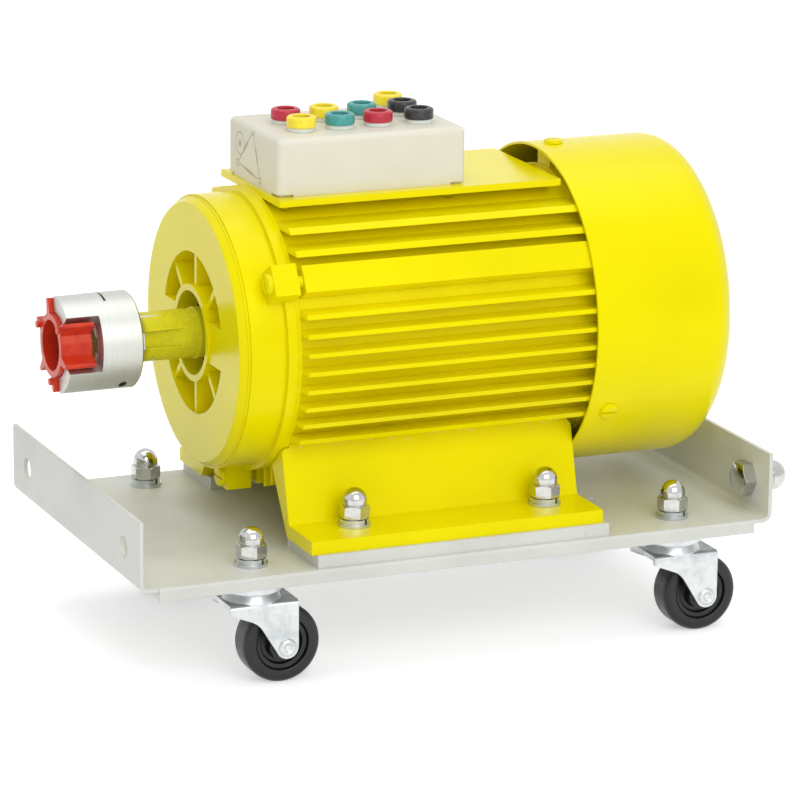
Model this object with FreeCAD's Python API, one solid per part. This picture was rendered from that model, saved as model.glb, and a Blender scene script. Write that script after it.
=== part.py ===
import FreeCAD, Part
import math
import os

# A demonstration electric motor: a foot-mounted, fan-cooled induction motor of frame size 90,
# bolted to a folded steel tray on four swivel castors, with a jaw coupling on its shaft and
# 4 mm safety sockets on its terminal box. All lengths are in millimetres, all angles in degrees.
#
# The pieces are modelled about the motor: X runs along the shaft from the coupling to the fan,
# Y to the back and Z up. X is zero at the drive-side foot bolts, Y and Z on the shaft's axis.
# Every piece is moved once, when it is written, so that the whole stands on Z zero with its
# box centred over the origin.

# Motor frame size
shaft_height = 90.0
foot_hole_pitch_x = 100.0
foot_hole_pitch_y = 140.0
shoulder_to_foot_hole = 56.0
shaft_end_length = 50.0
shaft_diameter = 24.0

# Clearances and cuts
overrun = 2.0
seam_tolerance = 0.0001
running_gap = 0.06
moving_gap = 0.4
seat_gap = 0.1

# Tray, folded from sheet
tray_length = 329.8
tray_wall_width = 185.4
tray_lip_width = 186.8
tray_sheet = 2.0
tray_wall_height = 32.6
tray_wall_to_foot_hole = 116.9
tray_bend_radius = 2.5
tray_lip_drop = 6.5
tray_lip_inset = 9.6
tray_lip_round = 1.8
wall_hole_diameter = 10.6
wall_hole_pitch = 142.0
wall_hole_height = 15.2
vent_hole_diameter = 3.0
vent_hole_from_foot_hole = 145.4
vent_hole_side = 29.7

# Feet and the plates under them
shim_thickness = 6.2
shim_side_overhang = 2.0
shim_end_inset = 2.6
shim_inner_side = 52.0
foot_flange_thickness = 6.7
foot_start = 29.6
foot_length = 152.0
foot_outer_side = 89.3
foot_web_base_outer = 60.0
foot_web_base_inner = 58.0
foot_web_top_outer = 49.5
foot_web_top_inner = 36.5
foot_web_fillet = 1.8
foot_corner_chamfer = 4.0

# M8 fastening: bolts, flat and spring washers, dome nuts
bolt_diameter = 8.0
bolt_hole_diameter = 9.0
bolt_head_width = 13.0
bolt_head_height = 5.3
bolt_thread_in_nut = 11.0
washer_diameter = 16.0
washer_thickness = 1.6
spring_washer_diameter = 14.2
spring_washer_thickness = 2.2
spring_washer_slit = 1.6
dome_nut_hex_height = 6.8
dome_nut_height = 15.0
dome_nut_dome_diameter = 12.4
dome_nut_bore_depth = 12.0

# M10 bolts that couple two trays wall to wall
wall_bolt_diameter = 10.0
wall_bolt_head_width = 16.0
wall_bolt_head_height = 6.4
wall_nut_hex_width = 16.0
wall_nut_hex_height = 8.0
wall_nut_height = 18.0
wall_nut_dome_diameter = 15.4
wall_nut_bore_depth = 13.0
wall_bolt_thread_in_nut = 12.0

# Castors
castor_from_foot_hole = 53.9
castor_pitch_x = 221.9
castor_pitch_y = 146.4
castor_trail = 13.2
wheel_diameter = 38.6
wheel_width = 16.0
wheel_tread_round = 3.0
wheel_recess_outer = 14.2
wheel_recess_inner = 7.6
wheel_recess_depth = 3.6
wheel_hub_width = 21.6
castor_axle_diameter = 6.0
axle_head_diameter = 8.6
axle_head_height = 1.5
castor_body_height = 55.8
raceway_diameter = 29.0
raceway_height = 9.0
raceway_plate = 2.2
raceway_rim_thickness = 1.8
fork_collar_diameter = 24.4
fork_flare_diameter = 28.4
fork_flare_height = 3.6
fork_crown_depth = 13.4
fork_sheet = 2.4
fork_outer_width = 28.0
fork_crown_front = 15.5
fork_leg_end_radius = 5.6
fork_nose_drop = 2.0
fork_leg_waist_front = 1.3
fork_leg_waist_drop = 10.1
fork_leg_waist_round = 12.0
fork_bend_radius = 2.2
stem_diameter = 8.0
stem_head_diameter = 12.0
stem_head_height = 2.0
stem_head_gap = 0.2

# Finned frame
frame_front = 28.4
frame_back = 128.0
frame_root_radius = 68.0
frame_bore_radius = 64.5
frame_rim_radius = 69.0
frame_rim_length = 2.0
fin_tip_radius = 77.5
fin_pitch = 9.0
fin_root_thickness = 3.2
fin_tip_thickness = 2.2
fin_highest = 21.6
fin_count = 8
shoulder_fin_heights = (49.0, 58.0)
belly_fin_sides = (20.0, 29.0)
frame_boss_front = 25.2
frame_boss_width = 13.5
frame_boss_sink = 2.0
pad_half_width = 39.0
pad_top_height = 70.3
pad_thickness = 3.3
pad_back = 120.0

# Tie screws that hold both end shields to the frame
tie_screw_radius = 73.2
tie_screw_angles = (30.0, 150.0, 270.0)
tie_screw_diameter = 6.0
tie_screw_hole_diameter = 6.6
tie_screw_head_diameter = 10.4
tie_screw_head_height = 2.6
tie_screw_grip_in_frame = 16.0
tie_lug_width = 15.6
tie_lug_length = 12.6
tie_lug_reach = 78.6

# Drive end shield
shield_face_radius = 62.9
shield_opening_radius = 39.5
shield_chamfer_radius = 65.2
shield_chamfer_length = 3.6
shield_groove_depth = 0.9
shield_groove_width = 1.2
shield_body_radius = 66.5
shield_flange_length = 5.0
shield_wall = 4.5
shield_floor_depth = 12.0
shield_floor_thickness = 4.5
shield_spigot_length = 5.0
shield_spigot_thickness = 3.5
boss_radius = 23.7
boss_bore_radius = 20.5
boss_proud = 1.0
shield_rib_thickness = 3.0
shield_rib_recess = 1.6
shield_web_width = 20.0
shield_rib_angles = (45.0, 90.0, 135.0, 225.0, 270.0, 315.0)
shield_web_angles = (0.0, 180.0)

# Bearings, seal and spring
bearing_outer_diameter = 52.0
bearing_bore_diameter = 25.0
bearing_width = 15.0
bearing_outer_ring_wall = 4.2
bearing_inner_ring_wall = 3.6
bearing_shield_thickness = 0.8
bearing_housing_wall = 5.5
seal_width = 7.0
seal_land_radius = 20.0
seal_rim = 2.5
wave_spring_thickness = 1.2
wave_spring_width = 4.0

# Fan end shield
fan_shield_flange_length = 9.0
fan_shield_wall_thickness = 4.5
cowl_pad_width = 14.0
cowl_pad_length = 10.0
cowl_screw_from_foot_hole = 134.0
cowl_screw_angles = (90.0, 210.0, 330.0)
cowl_screw_diameter = 5.0
cowl_screw_length = 9.0
cowl_screw_head_diameter = 9.4
cowl_screw_head_height = 2.2

# Stator and rotor
stator_front = 12.0
stator_length = 80.0
stator_bore_radius = 40.0
winding_length = 20.0
winding_outer_radius = 60.0
winding_inner_radius = 43.0
winding_chamfer = 4.0
air_gap = 0.35
rotor_shaft_radius = 16.0
end_ring_length = 9.0
end_ring_depth = 11.0
end_ring_blade_length = 7.0
end_ring_blade_width = 3.0
end_ring_blade_count = 8

# Shaft and key
keyway_width = 8.0
keyway_depth = 4.0
keyway_length = 38.0
keyway_end_land = 4.5
keyway_angle = 6.0
keyway_cutter_radius = 30.0
key_height = 7.0
key_length = 16.0
shaft_chamfer = 1.2
fan_journal_radius = 10.0
fan_journal_length = 48.0

# Jaw coupling: clamping hub and elastomer spider
hub_radius = 23.4
hub_face_from_shoulder = 32.9
hub_body_length = 20.4
jaw_length = 16.2
jaw_angle = 50.0
jaw_bore_radius = 11.5
hub_chamfer = 0.8
hub_bore_depth = 20.4
coupling_angle = 10.6
clamp_slot_width = 1.2
clamp_slot_from_face = 14.6
clamp_slot_start_angle = 68.0
clamp_slot_sweep = 196.6
clamp_slit_width = 1.8
clamp_screw_radius = 17.2
clamp_screw_from_face = 7.8
clamp_screw_diameter = 4.0
clamp_screw_head_diameter = 7.0
clamp_screw_head_height = 4.0
clamp_screw_length = 14.0
clamp_screw_socket_width = 3.0
clamp_screw_socket_depth = 2.2
clamp_screw_head_offset = 5.5
spider_floor_gap = 3.0
spider_length = 15.5
spider_ring_outer = 15.4
spider_ring_inner = 12.3
spider_leg_radius = 22.6
spider_leg_thickness = 4.3
spider_leg_crown = 1.1
spider_nub_diameter = 3.4
spider_nub_height = 1.8
spider_nub_radius = 17.4

# Fan
fan_back_from_foot_hole = 152.0
fan_disc_radius = 66.0
fan_disc_thickness = 2.2
fan_hub_radius = 17.0
fan_hub_length = 19.0
fan_blade_height = 22.0
fan_blade_thickness = 2.2
fan_blade_inner = 26.0
fan_blade_tip_inset = 1.0
fan_blade_count = 8

# Fan cowl, drawn from sheet
cowl_front = 122.6
cowl_back = 198.4
cowl_radius = 79.7
cowl_sheet = 1.2
cowl_rim_radius = 12.0
grille_slot_width = 4.6
grille_rings = ((6, 14.0, 28.0), (12, 33.0, 45.0), (18, 50.0, 62.0))

# Terminal box and sockets
box_front = 25.0
box_length = 97.5
box_half_width = 32.6
box_top_height = 98.2
box_wall = 1.8
box_round = 3.0
box_notch_length = 8.0
box_notch_height = 1.1
box_base_thickness = 2.5
box_screw_inset = 6.5
box_screw_diameter = 4.0
box_screw_head_diameter = 7.2
box_screw_head_height = 2.4
box_screw_boss_diameter = 7.0
box_screw_boss_drop = 2.6
lead_hole_diameter = 24.0
socket_columns = (19.4, 39.2, 59.0, 80.4)
socket_rows = (-14.0, 6.4, 24.6)
socket_head_diameter = 14.3
socket_head_height = 5.2
socket_head_round = 1.0
socket_collar_diameter = 13.2
socket_collar_height = 2.0
socket_body_diameter = 10.6
socket_body_length = 17.0
socket_well_diameter = 8.6
socket_well_depth = 20.0
socket_nut_width = 12.2
socket_nut_height = 2.5
contact_outer_diameter = 5.8
contact_bore_diameter = 4.0
contact_recess = 1.6
contact_tail_length = 5.0
contact_bore_depth = 17.0

# Where the sockets of each colour stand: column and row, counted from the drive end and the front
sockets_by_colour = {
    "sockets_red": ((2, 0), (0, 1)),
    "sockets_yellow": ((0, 0), (1, 1), (3, 2)),
    "sockets_teal": ((1, 0), (2, 1)),
    "sockets_black": ((3, 0), (3, 1)),
}

# Worked out from the sizes above
deck_top = -(shaft_height + shim_thickness)
deck_under = deck_top - tray_sheet
floor_level = deck_under - castor_body_height
foot_sole = -shaft_height
foot_top = foot_sole + foot_flange_thickness
tray_left = -tray_wall_to_foot_hole
tray_right = tray_left + tray_length
shield_face = -shoulder_to_foot_hole
hub_face = shield_face - hub_face_from_shoulder
jaw_root = hub_face - hub_body_length
jaw_end = jaw_root - jaw_length
spider_right = jaw_root - spider_floor_gap
spider_left = spider_right - spider_length
shaft_end = shield_face - shaft_end_length
left_reach = spider_left - spider_nub_height
right_reach = tray_right + wall_nut_height
middle_x = (left_reach + right_reach) / 2

X_AXIS = FreeCAD.Vector(1, 0, 0)
Y_AXIS = FreeCAD.Vector(0, 1, 0)
Z_AXIS = FreeCAD.Vector(0, 0, 1)
ORIGIN = FreeCAD.Vector(0, 0, 0)


def point(x, y, z):
    return FreeCAD.Vector(x, y, z)


def box(x0, x1, y0, y1, z0, z1):
    return Part.makeBox(x1 - x0, y1 - y0, z1 - z0, point(x0, y0, z0))


def rod(radius, x0, x1, y=0, z=0):
    """A round bar along X."""
    return Part.makeCylinder(radius, x1 - x0, point(x0, y, z), X_AXIS)


def crossbar(radius, y0, y1, x, z):
    """A round bar along Y."""
    return Part.makeCylinder(radius, y1 - y0, point(x, y0, z), Y_AXIS)


def post(radius, z0, z1, x=0, y=0):
    """A round bar along Z."""
    return Part.makeCylinder(radius, z1 - z0, point(x, y, z0), Z_AXIS)


def tube(outer, inner, x0, x1):
    """A tube along the shaft."""
    return rod(outer, x0, x1).cut(rod(inner, x0 - overrun, x1 + overrun))


def turned(shape, angle):
    """A copy turned about the shaft: zero degrees faces the front, 90 degrees the top."""
    copy = shape.copy()
    copy.rotate(ORIGIN, X_AXIS, -angle)
    return copy


def moved(shape, x, y, z):
    copy = shape.copy()
    copy.translate(point(x, y, z))
    return copy


def mirrored(shape):
    """The same piece on the back of the motor."""
    return shape.mirror(ORIGIN, Y_AXIS)


def fused(shapes):
    """One solid from several that touch, with no seams left on flat faces."""
    whole = shapes[0].fuse(list(shapes[1:]))
    return whole.removeSplitter()


def outline(corners, place):
    """A closed face through corners (u, v) or (u, v, radius), which rounds that corner."""
    flat = [point(corner[0], corner[1], 0) for corner in corners]
    rounds = [corner[2] if len(corner) > 2 else 0 for corner in corners]
    starts, middles, ends = [], [], []
    for i, here in enumerate(flat):
        back = (flat[i - 1] - here).normalize()
        ahead = (flat[(i + 1) % len(flat)] - here).normalize()
        half = back.getAngle(ahead) / 2
        reach = rounds[i] / math.tan(half)
        starts.append(here + back * reach)
        ends.append(here + ahead * reach)
        if rounds[i]:
            inward = (back + ahead).normalize()
            middles.append(here + inward * (rounds[i] / math.sin(half) - rounds[i]))
        else:
            middles.append(here)
    edges = []
    for i in range(len(flat)):
        start, middle, end = (place(p.x, p.y) for p in (starts[i], middles[i], ends[i]))
        following = place(starts[(i + 1) % len(flat)].x, starts[(i + 1) % len(flat)].y)
        if rounds[i]:
            edges.append(Part.Arc(start, middle, end).toShape())
        if not end.isEqual(following, seam_tolerance):
            edges.append(Part.LineSegment(end, following).toShape())
    return Part.Face(Part.Wire(edges))


def spun(corners):
    """A body turned about the shaft from corners (x, radius) or (x, radius, round)."""
    face = outline(corners, lambda u, v: point(u, 0, v))
    return face.revolve(ORIGIN, X_AXIS, 360)


def spun_upright(corners):
    """A body turned about Z from corners (radius, z) or (radius, z, round)."""
    face = outline(corners, lambda u, v: point(u, 0, v))
    return face.revolve(ORIGIN, Z_AXIS, 360)


def extruded_along_x(corners, x0, x1):
    """A bar along X whose section has corners (y, z) or (y, z, round)."""
    face = outline(corners, lambda u, v: point(x0, u, v))
    return face.extrude(point(x1 - x0, 0, 0))


def hexagon(width, z0, z1, turn=0):
    """A hexagonal prism along Z, width across its flats."""
    corner = width / math.sqrt(3)
    points = []
    for i in range(7):
        angle = math.radians(turn + 60 * i)
        points.append(point(corner * math.cos(angle), corner * math.sin(angle), z0))
    return Part.Face(Part.makePolygon(points)).extrude(point(0, 0, z1 - z0))


def along_x(shape):
    """A piece made upright, laid down so that its top points along X."""
    copy = shape.copy()
    copy.rotate(ORIGIN, Y_AXIS, 90)
    return copy


def grouped(shapes):
    """Separate solids that share one node."""
    return Part.makeCompound(shapes)


def foot_bolt_places():
    places = []
    for x in (0, foot_hole_pitch_x):
        for side in (-1, 1):
            places.append((x, side * foot_hole_pitch_y / 2))
    return places


def castor_places():
    """Kingpin places by name: front is the side of the terminal box's first row."""
    places = {}
    for end, x in (("left", -castor_from_foot_hole), ("right", castor_pitch_x - castor_from_foot_hole)):
        for side, y in (("front", -castor_pitch_y / 2), ("back", castor_pitch_y / 2)):
            places[side + "_" + end] = (x, y)
    return places


def wall_bolt_places():
    z = deck_top + wall_hole_height
    return [(side * wall_hole_pitch / 2, z) for side in (-1, 1)]


def is_bend(edge, height):
    """True for an edge across the whole tray at this height."""
    across = edge.BoundBox.YLength > tray_wall_width / 2
    return across and abs(edge.BoundBox.Center.z - height) < tray_sheet / 4


def base_tray():
    """The folded tray: a deck with a wall up at each end and a narrow lip down each long side."""
    half = tray_wall_width / 2
    wall_top = deck_top + tray_wall_height
    outer = box(tray_left, tray_right, -half, half, deck_under, wall_top)
    inner = box(tray_left + tray_sheet, tray_right - tray_sheet,
                -half - overrun, half + overrun, deck_top, wall_top + overrun)
    folded = outer.cut(inner)
    for height, radius in ((deck_under, tray_bend_radius + tray_sheet), (deck_top, tray_bend_radius)):
        bends = [edge for edge in folded.Edges if is_bend(edge, height)]
        folded = folded.makeFillet(radius, bends)
    lip = tray_lip_width / 2
    lip_bottom = deck_top - tray_lip_drop
    section = [
        (-lip, lip_bottom), (-lip, deck_top, tray_lip_round), (lip, deck_top, tray_lip_round),
        (lip, lip_bottom), (lip - tray_sheet, lip_bottom), (lip - tray_sheet, deck_under),
        (-lip + tray_sheet, deck_under), (-lip + tray_sheet, lip_bottom),
    ]
    lipped = extruded_along_x(section, tray_left + tray_lip_inset, tray_right - tray_lip_inset)
    tray = fused([folded, lipped])
    for x, y in foot_bolt_places() + list(castor_places().values()):
        tray = tray.cut(post(bolt_hole_diameter / 2, deck_under - overrun, deck_top + overrun, x, y))
    for y, z in wall_bolt_places():
        tray = tray.cut(rod(wall_hole_diameter / 2, tray_left - overrun, tray_right + overrun, y, z))
    vent = post(vent_hole_diameter / 2, deck_under - overrun, deck_top + overrun,
                vent_hole_from_foot_hole, -vent_hole_side)
    return tray.cut(vent)


def foot_shim():
    """The plate that lifts the front foot off the deck."""
    plate = box(-foot_start + shim_end_inset, foot_length - foot_start + shim_end_inset,
                -foot_outer_side - shim_side_overhang, -shim_inner_side, deck_top, foot_sole)
    return drilled_for_feet(plate)


def drilled_for_feet(shape):
    for x, y in foot_bolt_places():
        if y < 0:
            shape = shape.cut(post(bolt_hole_diameter / 2, deck_top - overrun, 0, x, y))
    return shape


def on_root(side):
    """The height below the shaft at which the frame's root circle stands this far to the side."""
    return -math.sqrt(frame_root_radius ** 2 - side ** 2)


def front_foot():
    """The front foot: a flange and a leaning web, whose head hugs the frame's root."""
    section = [
        (-foot_outer_side, foot_sole), (-foot_outer_side, foot_top),
        (-foot_web_base_outer, foot_top, foot_web_fillet),
        (-foot_web_top_outer, on_root(foot_web_top_outer) + fin_tip_thickness),
        (-foot_web_top_inner, on_root(foot_web_top_inner) + fin_tip_thickness),
        (-foot_web_top_inner, on_root(foot_web_top_inner)),
        (-foot_web_base_inner, foot_sole),
    ]
    foot = extruded_along_x(section, -foot_start, foot_length - foot_start)
    foot = foot.cut(rod(frame_root_radius, -foot_start - overrun, foot_length - foot_start + overrun))
    rim_end = -frame_front + frame_rim_length + moving_gap
    foot = foot.cut(rod(frame_rim_radius + moving_gap, -foot_start - overrun, rim_end))
    lowest = on_root(foot_web_top_outer) - foot_corner_chamfer
    for end, out in ((-foot_start, -1), (foot_length - foot_start, 1)):
        corner = outline(
            [(end - out * foot_corner_chamfer, lowest + foot_corner_chamfer + fin_tip_thickness),
             (end + out * overrun, lowest + foot_corner_chamfer + fin_tip_thickness),
             (end + out * overrun, lowest - overrun)],
            lambda u, v: point(u, -foot_outer_side, v))
        foot = foot.cut(corner.extrude(point(0, foot_outer_side - foot_web_top_inner + overrun, 0)))
    return drilled_for_feet(foot)


def bolt(z_head, z_end):
    """A hexagon bolt from below: its head hangs under z_head and its shank ends at z_end."""
    head = hexagon(bolt_head_width, z_head - bolt_head_height, z_head)
    return fused([head, post(bolt_diameter / 2, z_head, z_end)])


def washer(z0):
    ring = post(washer_diameter / 2, z0, z0 + washer_thickness)
    return ring.cut(post(bolt_diameter / 2, z0 - overrun, z0 + washer_thickness + overrun))


def spring_washer(z0):
    top = z0 + spring_washer_thickness
    ring = post(spring_washer_diameter / 2, z0, top)
    ring = ring.cut(post(bolt_diameter / 2, z0 - overrun, top + overrun))
    slit = box(0, spring_washer_diameter, -spring_washer_slit / 2, spring_washer_slit / 2,
               z0 - overrun, top + overrun)
    slit.rotate(point(0, 0, z0), Z_AXIS, -60)
    return ring.cut(slit)


def dome_nut(z0, width, hex_height, height, dome_diameter, bore_diameter, bore_depth):
    """A domed cap nut whose thread is blind."""
    dome = dome_diameter / 2
    cap = post(dome, z0, z0 + height - dome)
    ball = Part.makeSphere(dome, point(0, 0, z0 + height - dome))
    nut = fused([hexagon(width, z0, z0 + hex_height), cap, ball])
    return nut.cut(post(bore_diameter / 2, z0 - overrun, z0 + bore_depth))


def stacked(places, base, bottom):
    """Bolts, washers, spring washers and dome nuts at each place, clamping down on base."""
    spring_base = base + washer_thickness
    nut_base = spring_base + spring_washer_thickness
    end = nut_base + bolt_thread_in_nut
    nut = dome_nut(nut_base, bolt_head_width, dome_nut_hex_height, dome_nut_height,
                   dome_nut_dome_diameter, bolt_diameter, dome_nut_bore_depth)
    pieces = (bolt(bottom, end), washer(base), spring_washer(spring_base), nut)
    return [grouped([moved(piece, x, y, 0) for x, y in places]) for piece in pieces]


def wall_bolt_sets():
    """The bolts in the right wall that couple this tray to the next, and their dome nuts."""
    inside = tray_right - tray_sheet
    head = hexagon(wall_bolt_head_width, -wall_bolt_head_height, 0, 0)
    shank = post(wall_bolt_diameter / 2, 0, tray_sheet + wall_bolt_thread_in_nut)
    nut = dome_nut(tray_sheet, wall_nut_hex_width, wall_nut_hex_height, wall_nut_height,
                   wall_nut_dome_diameter, wall_bolt_diameter, wall_nut_bore_depth)
    bolts = [moved(along_x(fused([head, shank])), inside, y, z) for y, z in wall_bolt_places()]
    nuts = [moved(along_x(nut), inside, y, z) for y, z in wall_bolt_places()]
    return grouped(bolts), grouped(nuts)


def castor_stem():
    """The kingpin: riveted under the fork's crown, and threaded into the dome nut above the deck."""
    head_top = deck_under - fork_crown_depth - fork_sheet - stem_head_gap
    end = deck_top + washer_thickness + spring_washer_thickness + bolt_thread_in_nut
    head = post(stem_head_diameter / 2, head_top - stem_head_height, head_top)
    return fused([head, post(stem_diameter / 2, head_top - stem_head_height, end)])


def castor_raceway():
    """The upper race: a pressed cup, open below, that takes the fork's collar."""
    outer = raceway_diameter / 2
    inner = outer - raceway_rim_thickness
    bore = stem_diameter / 2
    plate = deck_under - raceway_plate
    rim = deck_under - raceway_height
    return spun_upright([
        (bore, deck_under), (outer, deck_under), (outer, rim), (inner, rim), (inner, plate),
        (bore, plate),
    ])


def fork_leg_outline():
    """One leg, seen from the side: upright behind, and waisted in front down to the axle's eye."""
    crown = -fork_crown_depth
    eye_x = castor_trail
    eye_z = wheel_diameter / 2 - castor_body_height
    nose = crown - fork_sheet - fork_nose_drop
    waist_x = -fork_leg_waist_front
    waist_z = crown - fork_leg_waist_drop
    across = eye_x - waist_x
    down = waist_z - eye_z
    slope = math.atan2(down, across) + math.asin(fork_leg_end_radius / math.hypot(across, down))
    bottom = eye_z - fork_leg_end_radius
    heel_x = waist_x + (waist_z - bottom) / math.tan(slope)
    back = eye_x + fork_leg_end_radius
    return [
        (-fork_crown_front, crown), (-fork_crown_front, nose),
        (waist_x, waist_z, fork_leg_waist_round), (heel_x, bottom, fork_leg_end_radius),
        (back, bottom, fork_leg_end_radius), (back, crown),
    ]


def castor_fork():
    """The pressed fork, about the kingpin with the deck's underside at height zero."""
    half = fork_outer_width / 2
    face = outline(fork_leg_outline(), lambda u, v: point(u, -half, v))
    body = face.extrude(point(0, fork_outer_width, 0))
    crown = -fork_crown_depth
    top_edges = []
    for edge in body.Edges:
        middle = edge.BoundBox.Center
        if abs(middle.z - crown) < fork_sheet / 4 and edge.BoundBox.XLength > fork_crown_front:
            top_edges.append(edge)
    body = body.makeFillet(fork_bend_radius, top_edges)
    gap = half - fork_sheet
    hollow = box(-fork_crown_front - overrun, castor_trail + fork_crown_front + overrun, -gap, gap,
                 -castor_body_height, crown - fork_sheet)
    body = body.cut(hollow)
    collar_top = -raceway_plate - moving_gap
    flare_top = crown + fork_flare_height
    collar = fork_collar_diameter / 2
    flare = fork_flare_diameter / 2
    bore = stem_diameter / 2 + running_gap
    race = spun_upright([
        (0, crown - fork_sheet / 2), (flare, crown - fork_sheet / 2), (flare, crown),
        (collar, flare_top), (collar, collar_top), (0, collar_top),
    ])
    body = fused([body, race])
    body = body.cut(post(bore, -castor_body_height, 0))
    eye = crossbar(castor_axle_diameter / 2, -half - overrun, half + overrun, castor_trail,
                   wheel_diameter / 2 - castor_body_height)
    return body.cut(eye)


def castor_wheel():
    """A solid wheel: an eased tread, a recess in each side, and a hub that runs on the axle."""
    tread = wheel_diameter / 2
    half = wheel_width / 2
    hub = wheel_hub_width / 2
    web = half - wheel_recess_depth
    bore = castor_axle_diameter / 2 + running_gap
    slope = wheel_tread_round / 3
    side = [(hub, bore), (hub, wheel_recess_inner), (web, wheel_recess_inner),
            (web, wheel_recess_outer - wheel_recess_depth / 2), (half, wheel_recess_outer),
            (half, tread - wheel_tread_round), (half - slope, tread - slope),
            (half - wheel_tread_round, tread)]
    corners = side + [(-corner[0],) + corner[1:] for corner in reversed(side)]
    face = outline(corners, lambda u, v: point(0, u, v))
    wheel = face.revolve(ORIGIN, Y_AXIS, 360)
    return moved(wheel, castor_trail, 0, tread - castor_body_height)


def castor_axle():
    """The riveted axle, with a head against each leg."""
    half = fork_outer_width / 2
    z = wheel_diameter / 2 - castor_body_height
    pieces = [crossbar(castor_axle_diameter / 2, -half, half, castor_trail, z)]
    for y in (-half - axle_head_height, half):
        pieces.append(crossbar(axle_head_diameter / 2, y, y + axle_head_height, castor_trail, z))
    return fused(pieces)


def fin_section(height, reach_in):
    """A level fin on the front, tapering outwards; its tip is trimmed to the fins' circle."""
    root = fin_root_thickness / 2
    tip = fin_tip_thickness / 2
    return [(-fin_tip_radius, height - tip), (-fin_tip_radius, height + tip),
            (-reach_in, height + root), (-reach_in, height - root)]


def frame_fins():
    """The cooling fins: a level stack on each side, two above the tie bosses, and two pairs below."""
    heights = [fin_highest - fin_pitch * i for i in range(fin_count)]
    heights = heights + list(shoulder_fin_heights)
    front = -frame_front + frame_rim_length
    fins = []
    for height in heights:
        reach_in = math.sqrt(frame_root_radius ** 2 - height ** 2) - fin_root_thickness
        fin = extruded_along_x(fin_section(height, reach_in), front, frame_back)
        fins.append(fin)
        fins.append(mirrored(fin))
    for side in belly_fin_sides:
        reach_in = math.sqrt(frame_root_radius ** 2 - side ** 2) - fin_root_thickness
        fin = extruded_along_x(fin_section(side, reach_in), front, frame_back)
        fin = turned(fin, -90)
        fins.append(fin)
        fins.append(mirrored(fin))
    return fins


def frame_bosses():
    """The thick ribs along the frame that take the tie screws."""
    half = frame_boss_width / 2
    bosses = []
    for angle in tie_screw_angles:
        boss = box(-frame_boss_front, frame_back, -fin_tip_radius, -frame_root_radius + frame_boss_sink,
                   -half, half)
        bosses.append(turned(boss, angle))
    return bosses


def motor_frame():
    """The finned frame: bore, rims, fins, tie bosses, and the pad for the terminal box."""
    shell = rod(frame_root_radius, -frame_front, frame_back)
    rims = [rod(frame_rim_radius, -frame_front, -frame_front + frame_rim_length)]
    pieces = [shell] + rims + frame_fins() + frame_bosses()
    envelope = rod(fin_tip_radius, -frame_front, frame_back)
    ribbed = fused(pieces).common(envelope)
    pad = box(-frame_front + frame_rim_length, pad_back, -pad_half_width, pad_half_width,
              pad_top_height - pad_thickness, pad_top_height)
    boss_bottom = pad_top_height - pad_thickness - box_screw_boss_drop
    bosses = [post(box_screw_boss_diameter / 2, boss_bottom, pad_top_height, x, y)
              for x, y in box_screw_places()]
    frame = fused([ribbed, pad] + bosses)
    frame = frame.cut(rod(frame_bore_radius, -frame_front - overrun, frame_back + overrun))
    frame = frame.cut(post(lead_hole_diameter / 2, 0, pad_top_height + overrun, stator_front))
    for angle in tie_screw_angles:
        for x0, x1 in tie_screw_spans():
            hole = rod(tie_screw_diameter / 2, x0, x1, -tie_screw_radius, 0)
            frame = frame.cut(turned(hole, angle))
    for x, y in box_screw_places():
        frame = frame.cut(post(box_screw_diameter / 2, boss_bottom - overrun,
                               pad_top_height + overrun, x, y))
    return frame


def tie_screw_spans():
    """Where the tie screws' shanks lie in the frame's bosses, at the drive end and the fan end."""
    return ((-frame_boss_front - overrun, -frame_boss_front + tie_screw_grip_in_frame),
            (frame_back - tie_screw_grip_in_frame, frame_back + overrun))


def tie_lugs(x0, x1):
    """The three lugs of an end shield, each with its screw hole."""
    half = tie_lug_width / 2
    lugs = []
    for angle in tie_screw_angles:
        lug = box(x0, x1, -tie_lug_reach, -shield_body_radius + frame_boss_sink, -half, half)
        lugs.append(turned(lug, angle))
    return lugs


def tie_holes(x0, x1):
    hole = rod(tie_screw_hole_diameter / 2, x0, x1, -tie_screw_radius, 0)
    return [turned(hole, angle) for angle in tie_screw_angles]


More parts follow.
